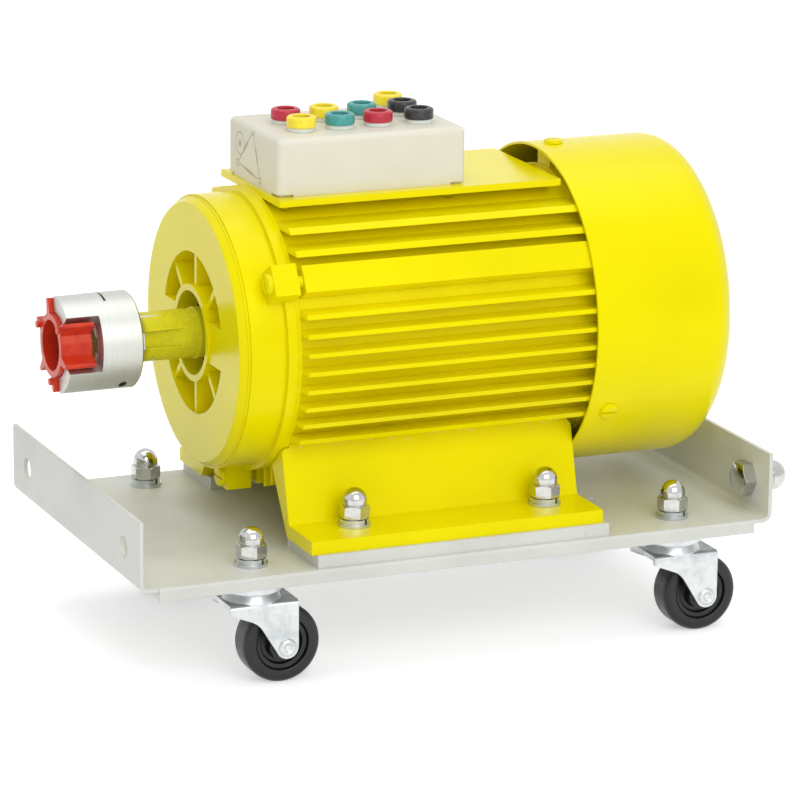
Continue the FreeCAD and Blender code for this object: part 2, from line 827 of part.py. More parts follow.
def drive_end_shield():
    """The drive end shield: a machined ring, a ribbed pocket round the shaft's boss, and three lugs."""
    back = -frame_front
    chamfer_end = shield_face + shield_chamfer_length
    flange = back - shield_flange_length
    floor = shield_face + shield_floor_depth
    floor_back = floor + shield_floor_thickness
    housing = bearing_outer_diameter / 2 + bearing_housing_wall
    spigot = frame_bore_radius
    groove = chamfer_end + shield_groove_width
    seat_front = floor_back
    seat_back = seat_front + bearing_width + wave_spring_thickness
    inner_wall = shield_body_radius - shield_wall
    body = spun([
        (shield_face, shield_opening_radius), (shield_face, shield_face_radius),
        (chamfer_end, shield_chamfer_radius), (chamfer_end, shield_body_radius - shield_groove_depth),
        (groove, shield_body_radius - shield_groove_depth), (groove, shield_body_radius),
        (flange, shield_body_radius), (flange, frame_rim_radius), (back, frame_rim_radius),
        (back, spigot), (back + shield_spigot_length, spigot),
        (back + shield_spigot_length, spigot - shield_spigot_thickness),
        (floor_back, inner_wall), (floor_back, housing), (seat_back, housing),
        (seat_back, bearing_outer_diameter / 2), (seat_front, bearing_outer_diameter / 2),
        (seat_front, seal_land_radius), (floor, seal_land_radius),
        (floor, boss_bore_radius), (shield_face - boss_proud, boss_bore_radius),
        (shield_face - boss_proud, boss_radius), (floor, boss_radius), (floor, shield_opening_radius),
    ])
    pieces = [body] + tie_lugs(back - tie_lug_length, back)
    inner = (boss_radius + boss_bore_radius) / 2
    outer = (shield_opening_radius + shield_face_radius) / 2
    for angle in shield_rib_angles:
        rib = box(shield_face + shield_rib_recess, floor + shield_floor_thickness / 2, -outer, -inner,
                  -shield_rib_thickness / 2, shield_rib_thickness / 2)
        pieces.append(turned(rib, angle))
    for angle in shield_web_angles:
        web = box(shield_face, floor + shield_floor_thickness / 2, -outer, -inner,
                  -shield_web_width / 2, shield_web_width / 2)
        pieces.append(turned(web, angle))
    shield = fused(pieces)
    shield = shield.cut(rod(boss_bore_radius, shield_face - overrun, floor))
    for hole in tie_holes(back - tie_lug_length - overrun, back + overrun):
        shield = shield.cut(hole)
    return shield


def fan_end_shield():
    """The fan end shield: a plain disc with the rear bearing's housing, lugs and cowl pads."""
    front = frame_back
    back = front + fan_shield_flange_length
    wall = back - fan_shield_wall_thickness
    housing = bearing_outer_diameter / 2 + bearing_housing_wall
    seat_front = wall - bearing_width + fan_shield_wall_thickness / 2
    stop = wall + fan_shield_wall_thickness / 2
    eye = fan_journal_radius + shaft_chamfer
    body = spun([
        (front - shield_spigot_length, frame_bore_radius), (front, frame_bore_radius),
        (front, frame_rim_radius), (back, frame_rim_radius), (back, eye), (stop, eye),
        (stop, bearing_outer_diameter / 2), (seat_front, bearing_outer_diameter / 2),
        (seat_front, housing), (wall, housing),
        (wall, frame_bore_radius - shield_spigot_thickness),
        (front - shield_spigot_length, frame_bore_radius - shield_spigot_thickness),
    ])
    pieces = [body] + tie_lugs(front, front + tie_lug_length)
    half = cowl_pad_width / 2
    centre = cowl_screw_from_foot_hole
    reach = cowl_radius - cowl_sheet
    for angle in cowl_screw_angles:
        pad = box(centre - cowl_pad_length / 2, centre + cowl_pad_length / 2,
                  -reach - overrun, -frame_rim_radius + frame_boss_sink, -half, half)
        pieces.append(turned(pad, angle))
    shield = fused(pieces)
    envelope = rod(reach, front - shield_spigot_length, front + tie_lug_length + back)
    shield = shield.common(envelope)
    for hole in tie_holes(front - overrun, front + tie_lug_length + overrun):
        shield = shield.cut(hole)
    for angle in cowl_screw_angles:
        hole = crossbar(cowl_screw_diameter / 2, -reach - overrun, -reach + cowl_screw_length, centre, 0)
        shield = shield.cut(turned(hole, angle))
    return shield


def tie_screw(head_face, x_end):
    """A cheese-head screw along the shaft, its head on head_face."""
    out = -1 if x_end > head_face else 1
    face = head_face + out * tie_screw_head_height
    head = rod(tie_screw_head_diameter / 2, min(face, head_face), max(face, head_face),
               -tie_screw_radius, 0)
    shank = rod(tie_screw_diameter / 2, min(head_face, x_end), max(head_face, x_end),
                -tie_screw_radius, 0)
    return fused([head, shank])


def tie_screws(head_face, x_end):
    screw = tie_screw(head_face, x_end)
    return grouped([turned(screw, angle) for angle in tie_screw_angles])


def bearing_rings(x0):
    """The outer ring with its two dust shields, and the inner ring that turns with the shaft."""
    x1 = x0 + bearing_width
    outer = bearing_outer_diameter / 2
    outer_land = outer - bearing_outer_ring_wall
    inner = bearing_bore_diameter / 2
    inner_land = inner + bearing_inner_ring_wall
    lip = inner_land + running_gap
    plate = bearing_shield_thickness
    outer_ring = spun([
        (x0, outer), (x1, outer), (x1, outer_land), (x1, lip), (x1 - plate, lip),
        (x1 - plate, outer_land), (x0 + plate, outer_land), (x0 + plate, lip), (x0, lip),
        (x0, outer_land),
    ])
    return outer_ring, tube(inner_land, inner, x0, x1)


def drive_bearing_x():
    """The drive bearing's front face, against the shoulder in the shield's housing."""
    return shield_face + shield_floor_depth + shield_floor_thickness


def fan_bearing_x():
    """The fan bearing's front face; the wave spring fills the rest of its housing."""
    stop = frame_back + fan_shield_flange_length - fan_shield_wall_thickness / 2
    return stop - wave_spring_thickness - bearing_width


def wave_spring():
    """The flat spring ring that loads the fan bearing's outer ring."""
    outer = bearing_outer_diameter / 2 - seat_gap
    front = fan_bearing_x() + bearing_width
    return tube(outer, outer - wave_spring_width, front, front + wave_spring_thickness)


def shaft_seal():
    """The lip seal in the drive shield's land."""
    back = drive_bearing_x() - seat_gap
    front = back - seal_width
    land = seal_land_radius
    lip = bearing_bore_diameter / 2 + running_gap
    return spun([
        (front, land - seal_rim), (front, land), (back, land), (back, land - seal_rim),
        (back - seal_rim, land - seal_rim), (back - seal_rim, lip), (front, lip),
    ])


def stator_core():
    return tube(frame_bore_radius, stator_bore_radius, stator_front, stator_front + stator_length)


def stator_windings():
    """The end windings: a bevelled ring of wire at each end of the core."""
    rings = []
    for x0 in (stator_front - winding_length, stator_front + stator_length):
        x1 = x0 + winding_length
        inner = winding_inner_radius
        outer = winding_outer_radius
        cut = winding_chamfer
        rings.append(spun([
            (x0, inner + cut), (x0, outer - cut), (x0 + cut, outer), (x1 - cut, outer),
            (x1, outer - cut), (x1, inner + cut), (x1 - cut, inner), (x0 + cut, inner),
        ]))
    return grouped(rings)


def rotor_core():
    outer = stator_bore_radius - air_gap
    return tube(outer, rotor_shaft_radius, stator_front, stator_front + stator_length)


def rotor_end_rings():
    """The cast cage's end rings, each with its stirring blades."""
    outer = stator_bore_radius - air_gap - seat_gap
    inner = outer - end_ring_depth
    back = stator_front + stator_length
    rings = []
    for face, out in ((stator_front, -1), (back, 1)):
        ring_end = face + out * end_ring_length
        tip = ring_end + out * end_ring_blade_length
        ring = tube(outer, inner, min(face, ring_end), max(face, ring_end))
        blade = box(min(ring_end, tip), max(ring_end, tip), -outer + seat_gap, -inner - seat_gap,
                    -end_ring_blade_width / 2, end_ring_blade_width / 2)
        step = 360 / end_ring_blade_count
        blades = [turned(blade, step * i) for i in range(end_ring_blade_count)]
        rings.append(fused([ring] + blades))
    return grouped(rings)


def keyway_cut():
    """The keyway's cutter path: flat along the key, with a round run-out towards the motor."""
    floor = shaft_diameter / 2 - keyway_depth
    left = shaft_end + keyway_end_land
    right = left + keyway_length
    half = keyway_width / 2
    runout = math.sqrt(keyway_cutter_radius ** 2 - (keyway_cutter_radius - keyway_depth) ** 2)
    flat_end = right - runout
    slot = box(left, flat_end, -shaft_diameter, -floor, -half, half)
    disc = Part.makeCylinder(keyway_cutter_radius, keyway_width,
                             point(flat_end, -floor - keyway_cutter_radius, -half), Z_AXIS)
    return turned(fused([slot, disc]), keyway_angle)


def shaft():
    """The stepped shaft, chamfered at both ends, with its keyway."""
    r_end = shaft_diameter / 2
    r_seat = bearing_bore_diameter / 2
    seat_end = drive_bearing_x() + bearing_width
    rear_seat = fan_bearing_x()
    rear_seat_end = rear_seat + bearing_width
    rear_end = rear_seat_end + fan_journal_length
    body = spun([
        (shaft_end, 0), (shaft_end, r_end - shaft_chamfer), (shaft_end + shaft_chamfer, r_end),
        (shield_face, r_end), (shield_face, r_seat), (seat_end, r_seat),
        (seat_end, rotor_shaft_radius), (rear_seat, rotor_shaft_radius), (rear_seat, r_seat),
        (rear_seat_end, r_seat), (rear_seat_end, fan_journal_radius),
        (rear_end - shaft_chamfer, fan_journal_radius),
        (rear_end, fan_journal_radius - shaft_chamfer), (rear_end, 0),
    ])
    return body.cut(keyway_cut())


def coupling_key():
    """The parallel key under the coupling hub."""
    floor = shaft_diameter / 2 - keyway_depth
    left = shaft_end + keyway_end_land
    half = keyway_width / 2
    key = box(left, left + key_length, -floor - key_height, -floor, -half, half)
    return turned(key, keyway_angle)


def sector(x0, x1, radius, start, sweep):
    """A slice of a disc about the shaft, from the start angle through the sweep."""
    disc = Part.makeCylinder(radius, x1 - x0, point(x0, 0, 0), X_AXIS, sweep)
    seam = disc.copy()
    seam.rotate(ORIGIN, X_AXIS, 90)
    return turned(seam, start + sweep)


def coupling_hub():
    """The hub: three jaws, a keyed bore, and a slot and a slit that let its clamp close."""
    body = spun([
        (jaw_root, 0), (jaw_root, hub_radius), (hub_face - hub_chamfer, hub_radius),
        (hub_face, hub_radius - hub_chamfer), (hub_face, 0),
    ])
    pieces = [body]
    for i in range(3):
        middle = coupling_angle + 60 + 120 * i
        jaw = sector(jaw_end, jaw_root, hub_radius, middle - jaw_angle / 2, jaw_angle)
        pieces.append(jaw)
    hub = fused(pieces)
    hub = hub.cut(rod(jaw_bore_radius + jaw_clearance(), jaw_end - overrun, jaw_root))
    hub = hub.cut(rod(shaft_diameter / 2, hub_face - hub_bore_depth - overrun, hub_face + overrun))
    floor = shaft_diameter / 2 - keyway_depth
    half = keyway_width / 2
    keyway = box(jaw_root - overrun, hub_face + overrun, -floor - key_height, 0, -half, half)
    hub = hub.cut(turned(keyway, keyway_angle))
    slot_x = hub_face - clamp_slot_from_face
    slot = sector(slot_x - clamp_slot_width / 2, slot_x + clamp_slot_width / 2,
                  hub_radius + overrun, clamp_slot_start_angle, clamp_slot_sweep)
    hub = hub.cut(slot)
    slit = box(slot_x, hub_face + overrun, -hub_radius - overrun, 0,
               -clamp_slit_width / 2, clamp_slit_width / 2)
    hub = hub.cut(turned(slit, clamp_slot_start_angle + clamp_slot_sweep))
    return hub.cut(clamp_screw_space())


def jaw_clearance():
    """How far the jaws' inner faces stand off the spider's ring."""
    return spider_ring_outer - jaw_bore_radius + moving_gap


def in_clamp(shape):
    """Turns a piece from the slit at the front to where the hub's slit is."""
    return turned(shape, clamp_slot_start_angle + clamp_slot_sweep)


def clamp_screw_parts():
    """The screw's shank and head, upright across a slit at the front, with the head above."""
    x = hub_face - clamp_screw_from_face
    y = -clamp_screw_radius
    seat = -clamp_screw_head_offset
    shank = post(clamp_screw_diameter / 2, seat, seat + clamp_screw_length, x, y)
    head = post(clamp_screw_head_diameter / 2, seat - clamp_screw_head_height, seat, x, y)
    return shank, head


def clamp_screw_space():
    """The counterbore for the screw's head and the tapped hole that runs out of the other side."""
    x = hub_face - clamp_screw_from_face
    y = -clamp_screw_radius
    seat = -clamp_screw_head_offset
    hole = post(clamp_screw_diameter / 2, seat, hub_radius, x, y)
    pocket = post(clamp_screw_head_diameter / 2 + seat_gap, -hub_radius, seat, x, y)
    return in_clamp(fused([hole, pocket]))


def hub_clamp_screw():
    shank, head = clamp_screw_parts()
    x = hub_face - clamp_screw_from_face
    low = -clamp_screw_head_offset - clamp_screw_head_height
    socket = hexagon(clamp_screw_socket_width, low - overrun, low + clamp_screw_socket_depth)
    screw = fused([shank, head]).cut(moved(socket, x, -clamp_screw_radius, 0))
    return in_clamp(screw)


def coupling_spider():
    """The elastomer spider: a ring with six crowned legs, and a nub on every other leg."""
    ring = tube(spider_ring_outer, spider_ring_inner, spider_left, spider_right)
    pieces = [ring]
    half = spider_leg_thickness / 2
    side = spider_leg_offset_angle()
    for i in range(3):
        for sign in (-1, 1):
            angle = coupling_angle + 120 * i + sign * side
            section = [
                (-spider_leg_radius, -half + spider_leg_crown, spider_leg_crown),
                (-spider_leg_radius, half - spider_leg_crown, spider_leg_crown),
                (-spider_ring_outer, half), (-spider_ring_inner - seat_gap, half),
                (-spider_ring_inner - seat_gap, -half), (-spider_ring_outer, -half),
            ]
            leg = extruded_along_x(section, spider_left, spider_right)
            pieces.append(turned(leg, angle))
        nub = rod(spider_nub_diameter / 2, left_reach, spider_left, -spider_nub_radius, 0)
        pieces.append(turned(nub, coupling_angle + 120 * i + side))
    return fused(pieces)


def spider_leg_offset_angle():
    """The angle from a window's middle to a leg that lies just off the jaw's flank."""
    flank = 60 - jaw_angle / 2
    lean = math.degrees(math.asin((spider_leg_thickness / 2 + seat_gap) / spider_ring_outer))
    return flank - lean


def fan():
    """The fan: a hub, a back disc and straight radial blades."""
    back = fan_back_from_foot_hole
    hub_end = back + fan_hub_length
    disc_end = back + fan_disc_thickness
    bore = fan_journal_radius
    body = spun([
        (back, bore), (back, fan_disc_radius), (disc_end, fan_disc_radius),
        (disc_end, fan_hub_radius), (hub_end, fan_hub_radius - shaft_chamfer), (hub_end, bore),
    ])
    outer = fan_disc_radius - fan_blade_tip_inset
    blade = outline(
        [(back, -outer), (back + fan_blade_height, -outer), (back + fan_blade_height, -fan_blade_inner),
         (hub_end - fan_disc_thickness, -fan_hub_radius + fan_disc_thickness),
         (back, -fan_hub_radius + fan_disc_thickness)],
        lambda u, v: point(u, v, -fan_blade_thickness / 2))
    blade = blade.extrude(point(0, 0, fan_blade_thickness))
    step = 360 / fan_blade_count
    return fused([body] + [turned(blade, step * i) for i in range(fan_blade_count)])


def fan_cowl():
    """The drawn cowl: an open drum with a rounded rear rim, and a grille of radial slots."""
    inner = cowl_radius - cowl_sheet
    rim = cowl_rim_radius
    shell = spun([
        (cowl_front, inner), (cowl_front, cowl_radius), (cowl_back, cowl_radius, rim),
        (cowl_back, 0), (cowl_back - cowl_sheet, 0), (cowl_back - cowl_sheet, inner, rim - cowl_sheet),
    ])
    slots = []
    half = grille_slot_width / 2
    for count, start, end in grille_rings:
        slot = box(cowl_back - cowl_sheet - overrun, cowl_back + overrun, -end, -start, -half, half)
        for i in range(count):
            slots.append(turned(slot, 360 / count * (i + 0.5)))
    shell = shell.cut(slots)
    for angle in cowl_screw_angles:
        hole = crossbar(cowl_screw_diameter / 2, -cowl_radius - overrun, 0, cowl_screw_from_foot_hole, 0)
        shell = shell.cut(turned(hole, angle))
    return shell


def cowl_screws():
    """Pan-head screws through the cowl into the fan end shield's pads."""
    face = -cowl_radius
    head = crossbar(cowl_screw_head_diameter / 2, face - cowl_screw_head_height, face,
                    cowl_screw_from_foot_hole, 0)
    shank = crossbar(cowl_screw_diameter / 2, face, face + cowl_screw_length,
                     cowl_screw_from_foot_hole, 0)
    screw = fused([head, shank])
    return grouped([turned(screw, angle) for angle in cowl_screw_angles])


def box_corners(inset):
    """The four places this far in from the terminal box's corners."""
    places = []
    for x in (-box_front + inset, -box_front + box_length - inset):
        for side in (-1, 1):
            places.append((x, side * (box_half_width - inset)))
    return places


def box_screw_places():
    return box_corners(box_screw_inset)


def socket_place(column, row):
    return -box_front + socket_columns[column], socket_rows[row]


def terminal_box():
    """The moulded box: rounded outside, hollow and open below, with a notch under each corner."""
    left = -box_front
    right = left + box_length
    body = box(left, right, -box_half_width, box_half_width, pad_top_height, box_top_height)
    rounded = [edge for edge in body.Edges if edge.BoundBox.Center.z > pad_top_height]
    body = body.makeFillet(box_round, rounded)
    hollow = box(left + box_wall, right - box_wall, -box_half_width + box_wall,
                 box_half_width - box_wall, pad_top_height - overrun, box_top_height - box_wall)
    body = body.cut(hollow)
    for x, y in box_corners(0):
        notch = box(x - box_notch_length, x + box_notch_length, y - box_notch_length,
                    y + box_notch_length, pad_top_height - overrun, pad_top_height + box_notch_height)
        body = body.cut(notch)
    for places in sockets_by_colour.values():
        for column, row in places:
            x, y = socket_place(column, row)
            body = body.cut(post(socket_body_diameter / 2, box_top_height - box_wall - overrun,
                                 box_top_height + overrun, x, y))
    return body


def terminal_box_base():
    """The plate inside the box's open side, which is screwed to the pad and carries the box."""
    left = -box_front + box_wall
    right = left + box_length - 2 * box_wall
    half = box_half_width - box_wall
    plate = box(left, right, -half, half, pad_top_height, pad_top_height + box_base_thickness)
    plate = plate.cut(post(lead_hole_diameter / 2, 0, box_top_height, stator_front))
    for x, y in box_screw_places():
        plate = plate.cut(post(box_screw_diameter / 2, pad_top_height - overrun, box_top_height, x, y))
    return plate


def terminal_box_screws():
    """The screws that hold the terminal box's base down on the frame's pad."""
    screws = []
    seat = pad_top_height + box_base_thickness
    end = pad_top_height - pad_thickness - box_screw_boss_drop
    for x, y in box_screw_places():
        head = post(box_screw_head_diameter / 2, seat, seat + box_screw_head_height, x, y)
        screws.append(fused([head, post(box_screw_diameter / 2, end, seat, x, y)]))
    return grouped(screws)


def socket_body():
    """One safety socket: a coloured head on a collar, a body through the panel, and a deep well."""
    panel = box_top_height
    collar_top = panel + socket_collar_height
    head_top = collar_top + socket_head_height
    head = socket_head_diameter / 2
    body_r = socket_body_diameter / 2
    well = socket_well_diameter / 2
    bottom = panel - socket_body_length
    pin = contact_outer_diameter / 2
    floor = head_top - socket_well_depth
    return spun_upright([
        (pin, bottom), (body_r, bottom), (body_r, panel), (socket_collar_diameter / 2, panel),
        (socket_collar_diameter / 2, collar_top), (head, collar_top),
        (head, head_top - socket_head_round), (head - socket_head_round, head_top),
        (well, head_top), (well, floor), (pin, floor),
    ])


def socket_contact():
    """The socket's contact: a tube for the plug's pin, whose solid end takes the wire."""
    head_top = box_top_height + socket_collar_height + socket_head_height
    top = head_top - contact_recess
    outer = contact_outer_diameter / 2
    low = box_top_height - socket_body_length - contact_tail_length
    body = post(outer, low, top)
    return body.cut(post(contact_bore_diameter / 2, top - contact_bore_depth, top + overrun))


def socket_nut():
    top = box_top_height - box_wall
    nut = hexagon(socket_nut_width, top - socket_nut_height, top)
    return nut.cut(post(socket_body_diameter / 2, top - socket_nut_height - overrun, top + overrun))


def socket_groups():
    """The coloured bodies, one node a colour, with all the contacts and all the nuts."""
    groups = {}
    contacts = []
    nuts = []
    for name, places in sockets_by_colour.items():
        bodies = []
        for column, row in places:
            x, y = socket_place(column, row)
            bodies.append(moved(socket_body(), x, y, 0))
            contacts.append(moved(socket_contact(), x, y, 0))
            nuts.append(moved(socket_nut(), x, y, 0))
        groups[name] = grouped(bodies)
    groups["socket_contacts"] = grouped(contacts)
    groups["socket_nuts"] = grouped(nuts)
    return groups


def castors():
    """The four castors: fork, wheel and axle are nodes of their own, the fixed pieces are groups."""
    pieces = {}
    for name, (x, y) in castor_places().items():
        pieces["castor_fork_" + name] = moved(castor_fork(), x, y, deck_under)
        pieces["castor_wheel_" + name] = moved(castor_wheel(), x, y, deck_under)
        pieces["castor_axle_" + name] = moved(castor_axle(), x, y, deck_under)
    places = list(castor_places().values())
    stack = stacked(places, deck_top, deck_under)
    for name, group in zip(("washers", "spring_washers", "dome_nuts"), stack[1:]):
        pieces["castor_" + name] = group
    pieces["castor_stems"] = grouped([moved(castor_stem(), x, y, 0) for x, y in places])
    pieces["castor_raceways"] = grouped([moved(castor_raceway(), x, y, 0) for x, y in places])
    return pieces


def all_pieces():
    pieces = {"base_tray": base_tray()}
    pieces["foot_shim_front"] = foot_shim()
    pieces["foot_shim_back"] = mirrored(foot_shim())
    pieces["foot_front"] = front_foot()
    pieces["foot_back"] = mirrored(front_foot())
    feet = stacked(foot_bolt_places(), foot_top, deck_under)
    for name, group in zip(("bolts", "washers", "spring_washers", "dome_nuts"), feet):
        pieces["foot_" + name] = group
    pieces["wall_bolts"], pieces["wall_dome_nuts"] = wall_bolt_sets()
    pieces.update(castors())
    pieces["motor_frame"] = motor_frame()
    pieces["drive_end_shield"] = drive_end_shield()
    pieces["fan_end_shield"] = fan_end_shield()
    pieces["drive_shield_screws"] = tie_screws(-frame_front - tie_lug_length, tie_screw_spans()[0][1])
    pieces["fan_shield_screws"] = tie_screws(frame_back + tie_lug_length, tie_screw_spans()[1][0])
    drive_rings = bearing_rings(drive_bearing_x())
    pieces["drive_bearing_outer_ring"], pieces["drive_bearing_inner_ring"] = drive_rings
    fan_rings = bearing_rings(fan_bearing_x())
    pieces["fan_bearing_outer_ring"], pieces["fan_bearing_inner_ring"] = fan_rings
    pieces["bearing_wave_spring"] = wave_spring()
    pieces["shaft_seal"] = shaft_seal()
    pieces["stator_core"] = stator_core()
    pieces["stator_windings"] = stator_windings()
    pieces["rotor_core"] = rotor_core()
    pieces["rotor_end_rings"] = rotor_end_rings()
    pieces["shaft"] = shaft()
    pieces["coupling_key"] = coupling_key()
    pieces["coupling_hub"] = coupling_hub()
    pieces["hub_clamp_screw"] = hub_clamp_screw()
    pieces["coupling_spider"] = coupling_spider()
    pieces["fan"] = fan()
    pieces["fan_cowl"] = fan_cowl()
    pieces["cowl_screws"] = cowl_screws()
    pieces["terminal_box"] = terminal_box()
    pieces["terminal_box_base"] = terminal_box_base()
    pieces["terminal_box_screws"] = terminal_box_screws()
    pieces.update(socket_groups())
    return pieces


def write_pieces():
    """Each piece is set with the box's middle over the origin and the wheels on Z zero."""
    os.makedirs("parts", exist_ok=True)
    for name, shape in all_pieces().items():
        placed = moved(shape, -middle_x, 0, -floor_level)
        solids = placed.Solids
        node = solids[0] if len(solids) == 1 else Part.makeCompound(solids)
        node.exportStep("parts/" + name + ".step")
        print(name, len(solids), node.isValid())


write_pieces()
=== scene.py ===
"""The looks of a demonstration electric motor that stands on a tray with four castors.

The motor's frame, shields, cowl and feet wear yellow enamel, the tray and the socket box a pale
grey, and the fastenings and castors bright plating. Lengths are in metres, apart from the sizes
and profiles of the turned and screwed pieces, which are in millimetres.
"""

import math

import bpy
from mathutils import Matrix, Vector


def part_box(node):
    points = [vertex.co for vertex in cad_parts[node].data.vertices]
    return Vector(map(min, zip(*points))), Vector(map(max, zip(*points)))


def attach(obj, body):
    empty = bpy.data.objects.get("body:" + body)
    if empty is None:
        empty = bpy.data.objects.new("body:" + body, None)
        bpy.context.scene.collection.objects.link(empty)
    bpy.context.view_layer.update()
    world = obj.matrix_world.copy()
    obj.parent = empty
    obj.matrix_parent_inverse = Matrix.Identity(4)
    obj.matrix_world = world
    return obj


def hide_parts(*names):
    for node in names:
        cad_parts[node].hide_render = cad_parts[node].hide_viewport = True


MM = 0.001

# Where the motor and its fastenings stand
AXIS_HEIGHT = 154.0 * MM
SHAFT_AXIS = Vector((0, 0, AXIS_HEIGHT))
CORNERS = ("front_left", "front_right", "back_left", "back_right")
SIDES = (-1, 1)
FOOT_BOLT_X = (-50.65 * MM, 49.35 * MM)
FOOT_BOLT_Y = 70.0 * MM
STEM_X = (-104.55 * MM, 117.35 * MM)
STEM_Y = 73.2 * MM
WALL_BOLT_Y = 71.0 * MM
COWL_SCREW_RADIUS = 79.7 * MM
COWL_SCREW_ANGLES = (90, 210, 330)
SHIELD_SCREW_RADIUS = 73.2 * MM
SHIELD_SCREW_ANGLES = (30, 150, 270)

# The sockets' columns, from the box's drive-side end, and their rows, from the shaft
SOCKET_COLUMNS = (19.4 * MM, 39.2 * MM, 59.0 * MM, 80.4 * MM)
SOCKET_ROWS = (-14.0 * MM, 6.4 * MM, 24.6 * MM)

# Fastenings, in millimetres
DOME_NUT = {"width": 13.0, "hex_height": 6.8, "height": 15.0, "dome_width": 12.2, "bore": 8.0}
WALL_NUT = {"width": 16.0, "hex_height": 8.0, "height": 18.0, "dome_width": 15.2, "bore": 10.0}
WALL_BOLT = {"head_width": 16.0, "head_height": 6.4, "shank_width": 10.0}
COWL_SCREW = {"head_width": 9.4, "head_height": 2.0, "shank_width": 5.0, "length": 9.0,
              "slot_width": 1.2, "slot_depth": 1.1}
SHIELD_SCREW = {"head_width": 10.4, "head_height": 2.6, "shank_width": 6.0,
                "slot_width": 1.5, "slot_depth": 1.3}
NECK_DEPTH = 0.3
NECK_HEIGHT = 0.3
NECK_TOP = 0.7
CAP_ROOT = 2.0
CAP_WALL = 3.0
COUNTERSINK = 0.6
DRILL_POINT = 1.0
BOLT_TIP = 1.0
SCREW_TIP = 0.8
COLLAR_TOP = 1.95

# The chamfer circle of a hexagon as a share of its width, and a domed screw head's outline as
# shares of its half width and of its height
HEX_FACE_SHARE = 0.475
SCREW_HEAD_SHARES = ((1, 0), (1, 0.4), (0.93, 0.8), (0.75, 0.96), (0.4, 1), (0, 1))

# Modelling
TURN_STEPS = 64
DOME_STEPS = 14
TREAD_STEPS = 6
OVERRUN = 1.0
SMOOTH_BELOW = math.radians(32)
MERGE_BELOW = 0.002 * MM
CHAMFER_SLOPE = math.tan(math.radians(30))
QUARTER_TURN = math.radians(90)

# The photograph's camera, its height counted from the shaft
CAMERA_PLACE = SHAFT_AXIS + Vector((-0.82250, -1.91944, 0.51448))
CAMERA_YAW = math.radians(-23.26)
CAMERA_PITCH = math.radians(14.97)
CAMERA_ROLL = math.radians(0.62)
CAMERA_LENS = 197.1
CAMERA_REACH = 50.0
SENSOR_WIDTH = 36.0

# The studio
SOFTBOX_FRONT = {"place": (-0.1, -2.3, 1.5), "size": (2.0, 1.6), "power": 24}
SOFTBOX_ABOVE = {"place": (0, 0.1, 2.2), "size": (2.4, 1.8), "power": 14}
WHITE = (1.0, 1.0, 1.0)
BLACK = (0.0, 0.0, 0.0)
SKY_STRENGTH = 0.66
FLOOR_WIDTH = 18.0
FLOOR_COLOUR = (0.90, 0.90, 0.90)
FLOOR_GLOW = (0.44, 0.44, 0.44)

# Colours, as linear light
ENAMEL_YELLOW = (0.88, 0.775, 0.0)
ENAMEL_YELLOW_DEEP = (0.82, 0.715, 0.0)
ENAMEL_SHINE = (1.0, 0.9, 0.12)
ENAMEL_CHIP = (0.95, 0.93, 0.70)
# A painted reflection of the white surroundings on the drive shield's ring face
SHIELD_FACE_REFLECTION = (0.72, 0.665, 0.02)
# A painted reflection on the cowl's rounded rear corner
COWL_CORNER_REFLECTION = (0.72, 0.665, 0.16)
SHAFT_PAINT = (0.62, 0.59, 0.02)
SHAFT_SHADE = (0.12, 0.125, 0.04)
TRAY_GREY = (0.68, 0.69, 0.645)
TRAY_GREY_DEEP = (0.60, 0.61, 0.57)
BOX_GREY = (0.75, 0.725, 0.61)
BOX_GREY_DEEP = (0.70, 0.68, 0.575)
COLLAR_WHITE = (0.76, 0.80, 0.73)
COLLAR_SHADE = (0.68, 0.72, 0.66)
INK = (0.09, 0.09, 0.085)
ZINC = (0.66, 0.69, 0.70)
ZINC_DULL = (0.50, 0.53, 0.55)
NICKEL = (0.60, 0.60, 0.58)
NICKEL_HAZE = (0.48, 0.48, 0.47)
BRASS_PLATE = (0.70, 0.66, 0.52)
BRASS_PLATE_DULL = (0.56, 0.52, 0.40)
BARE_STEEL = (0.62, 0.62, 0.61)
GROUND_STEEL_DULL = (0.45, 0.45, 0.45)
KEY_STEEL_DULL = (0.35, 0.35, 0.36)
BLACKENED_STEEL = (0.05, 0.05, 0.05)
BLACKENED_STEEL_WORN = (0.09, 0.09, 0.09)
SHEET_STEEL = (0.36, 0.36, 0.37)
SHEET_STEEL_GAP = (0.20, 0.20, 0.21)
COPPER = (0.60, 0.25, 0.09)
COPPER_GAP = (0.30, 0.10, 0.04)
CAST_ALUMINIUM = (0.62, 0.63, 0.64)
CAST_ALUMINIUM_DULL = (0.50, 0.51, 0.52)
HUB_METAL = (0.63, 0.64, 0.61)
HUB_METAL_DULL = (0.57, 0.58, 0.555)
ELASTOMER_RED = (0.64, 0.040, 0.012)
ELASTOMER_DEEP = (0.50, 0.022, 0.012)
ELASTOMER_SHINE = (1.0, 0.45, 0.30)
SEAL_RUBBER = (0.02, 0.02, 0.02)
SEAL_RUBBER_WORN = (0.03, 0.03, 0.03)
FAN_PLASTIC = (0.03, 0.03, 0.03)
FAN_PLASTIC_WORN = (0.05, 0.05, 0.05)
WHEEL_BLACK = (0.006, 0.006, 0.007)
DUST = (0.30, 0.29, 0.27)

# Each colour of socket: its tone, its deeper tone, and its sockets' columns and rows
SOCKETS = {
    "red": ((0.56, 0.022, 0.05), (0.42, 0.015, 0.035), ((2, 0), (0, 1))),
    "yellow": ((0.98, 0.80, 0.04), (0.90, 0.70, 0.02), ((0, 0), (1, 1), (3, 2))),
    "teal": ((0.065, 0.36, 0.34), (0.05, 0.28, 0.27), ((1, 0), (2, 1))),
    "black": ((0.022, 0.022, 0.023), (0.04, 0.04, 0.04), ((3, 0), (3, 1))),
}

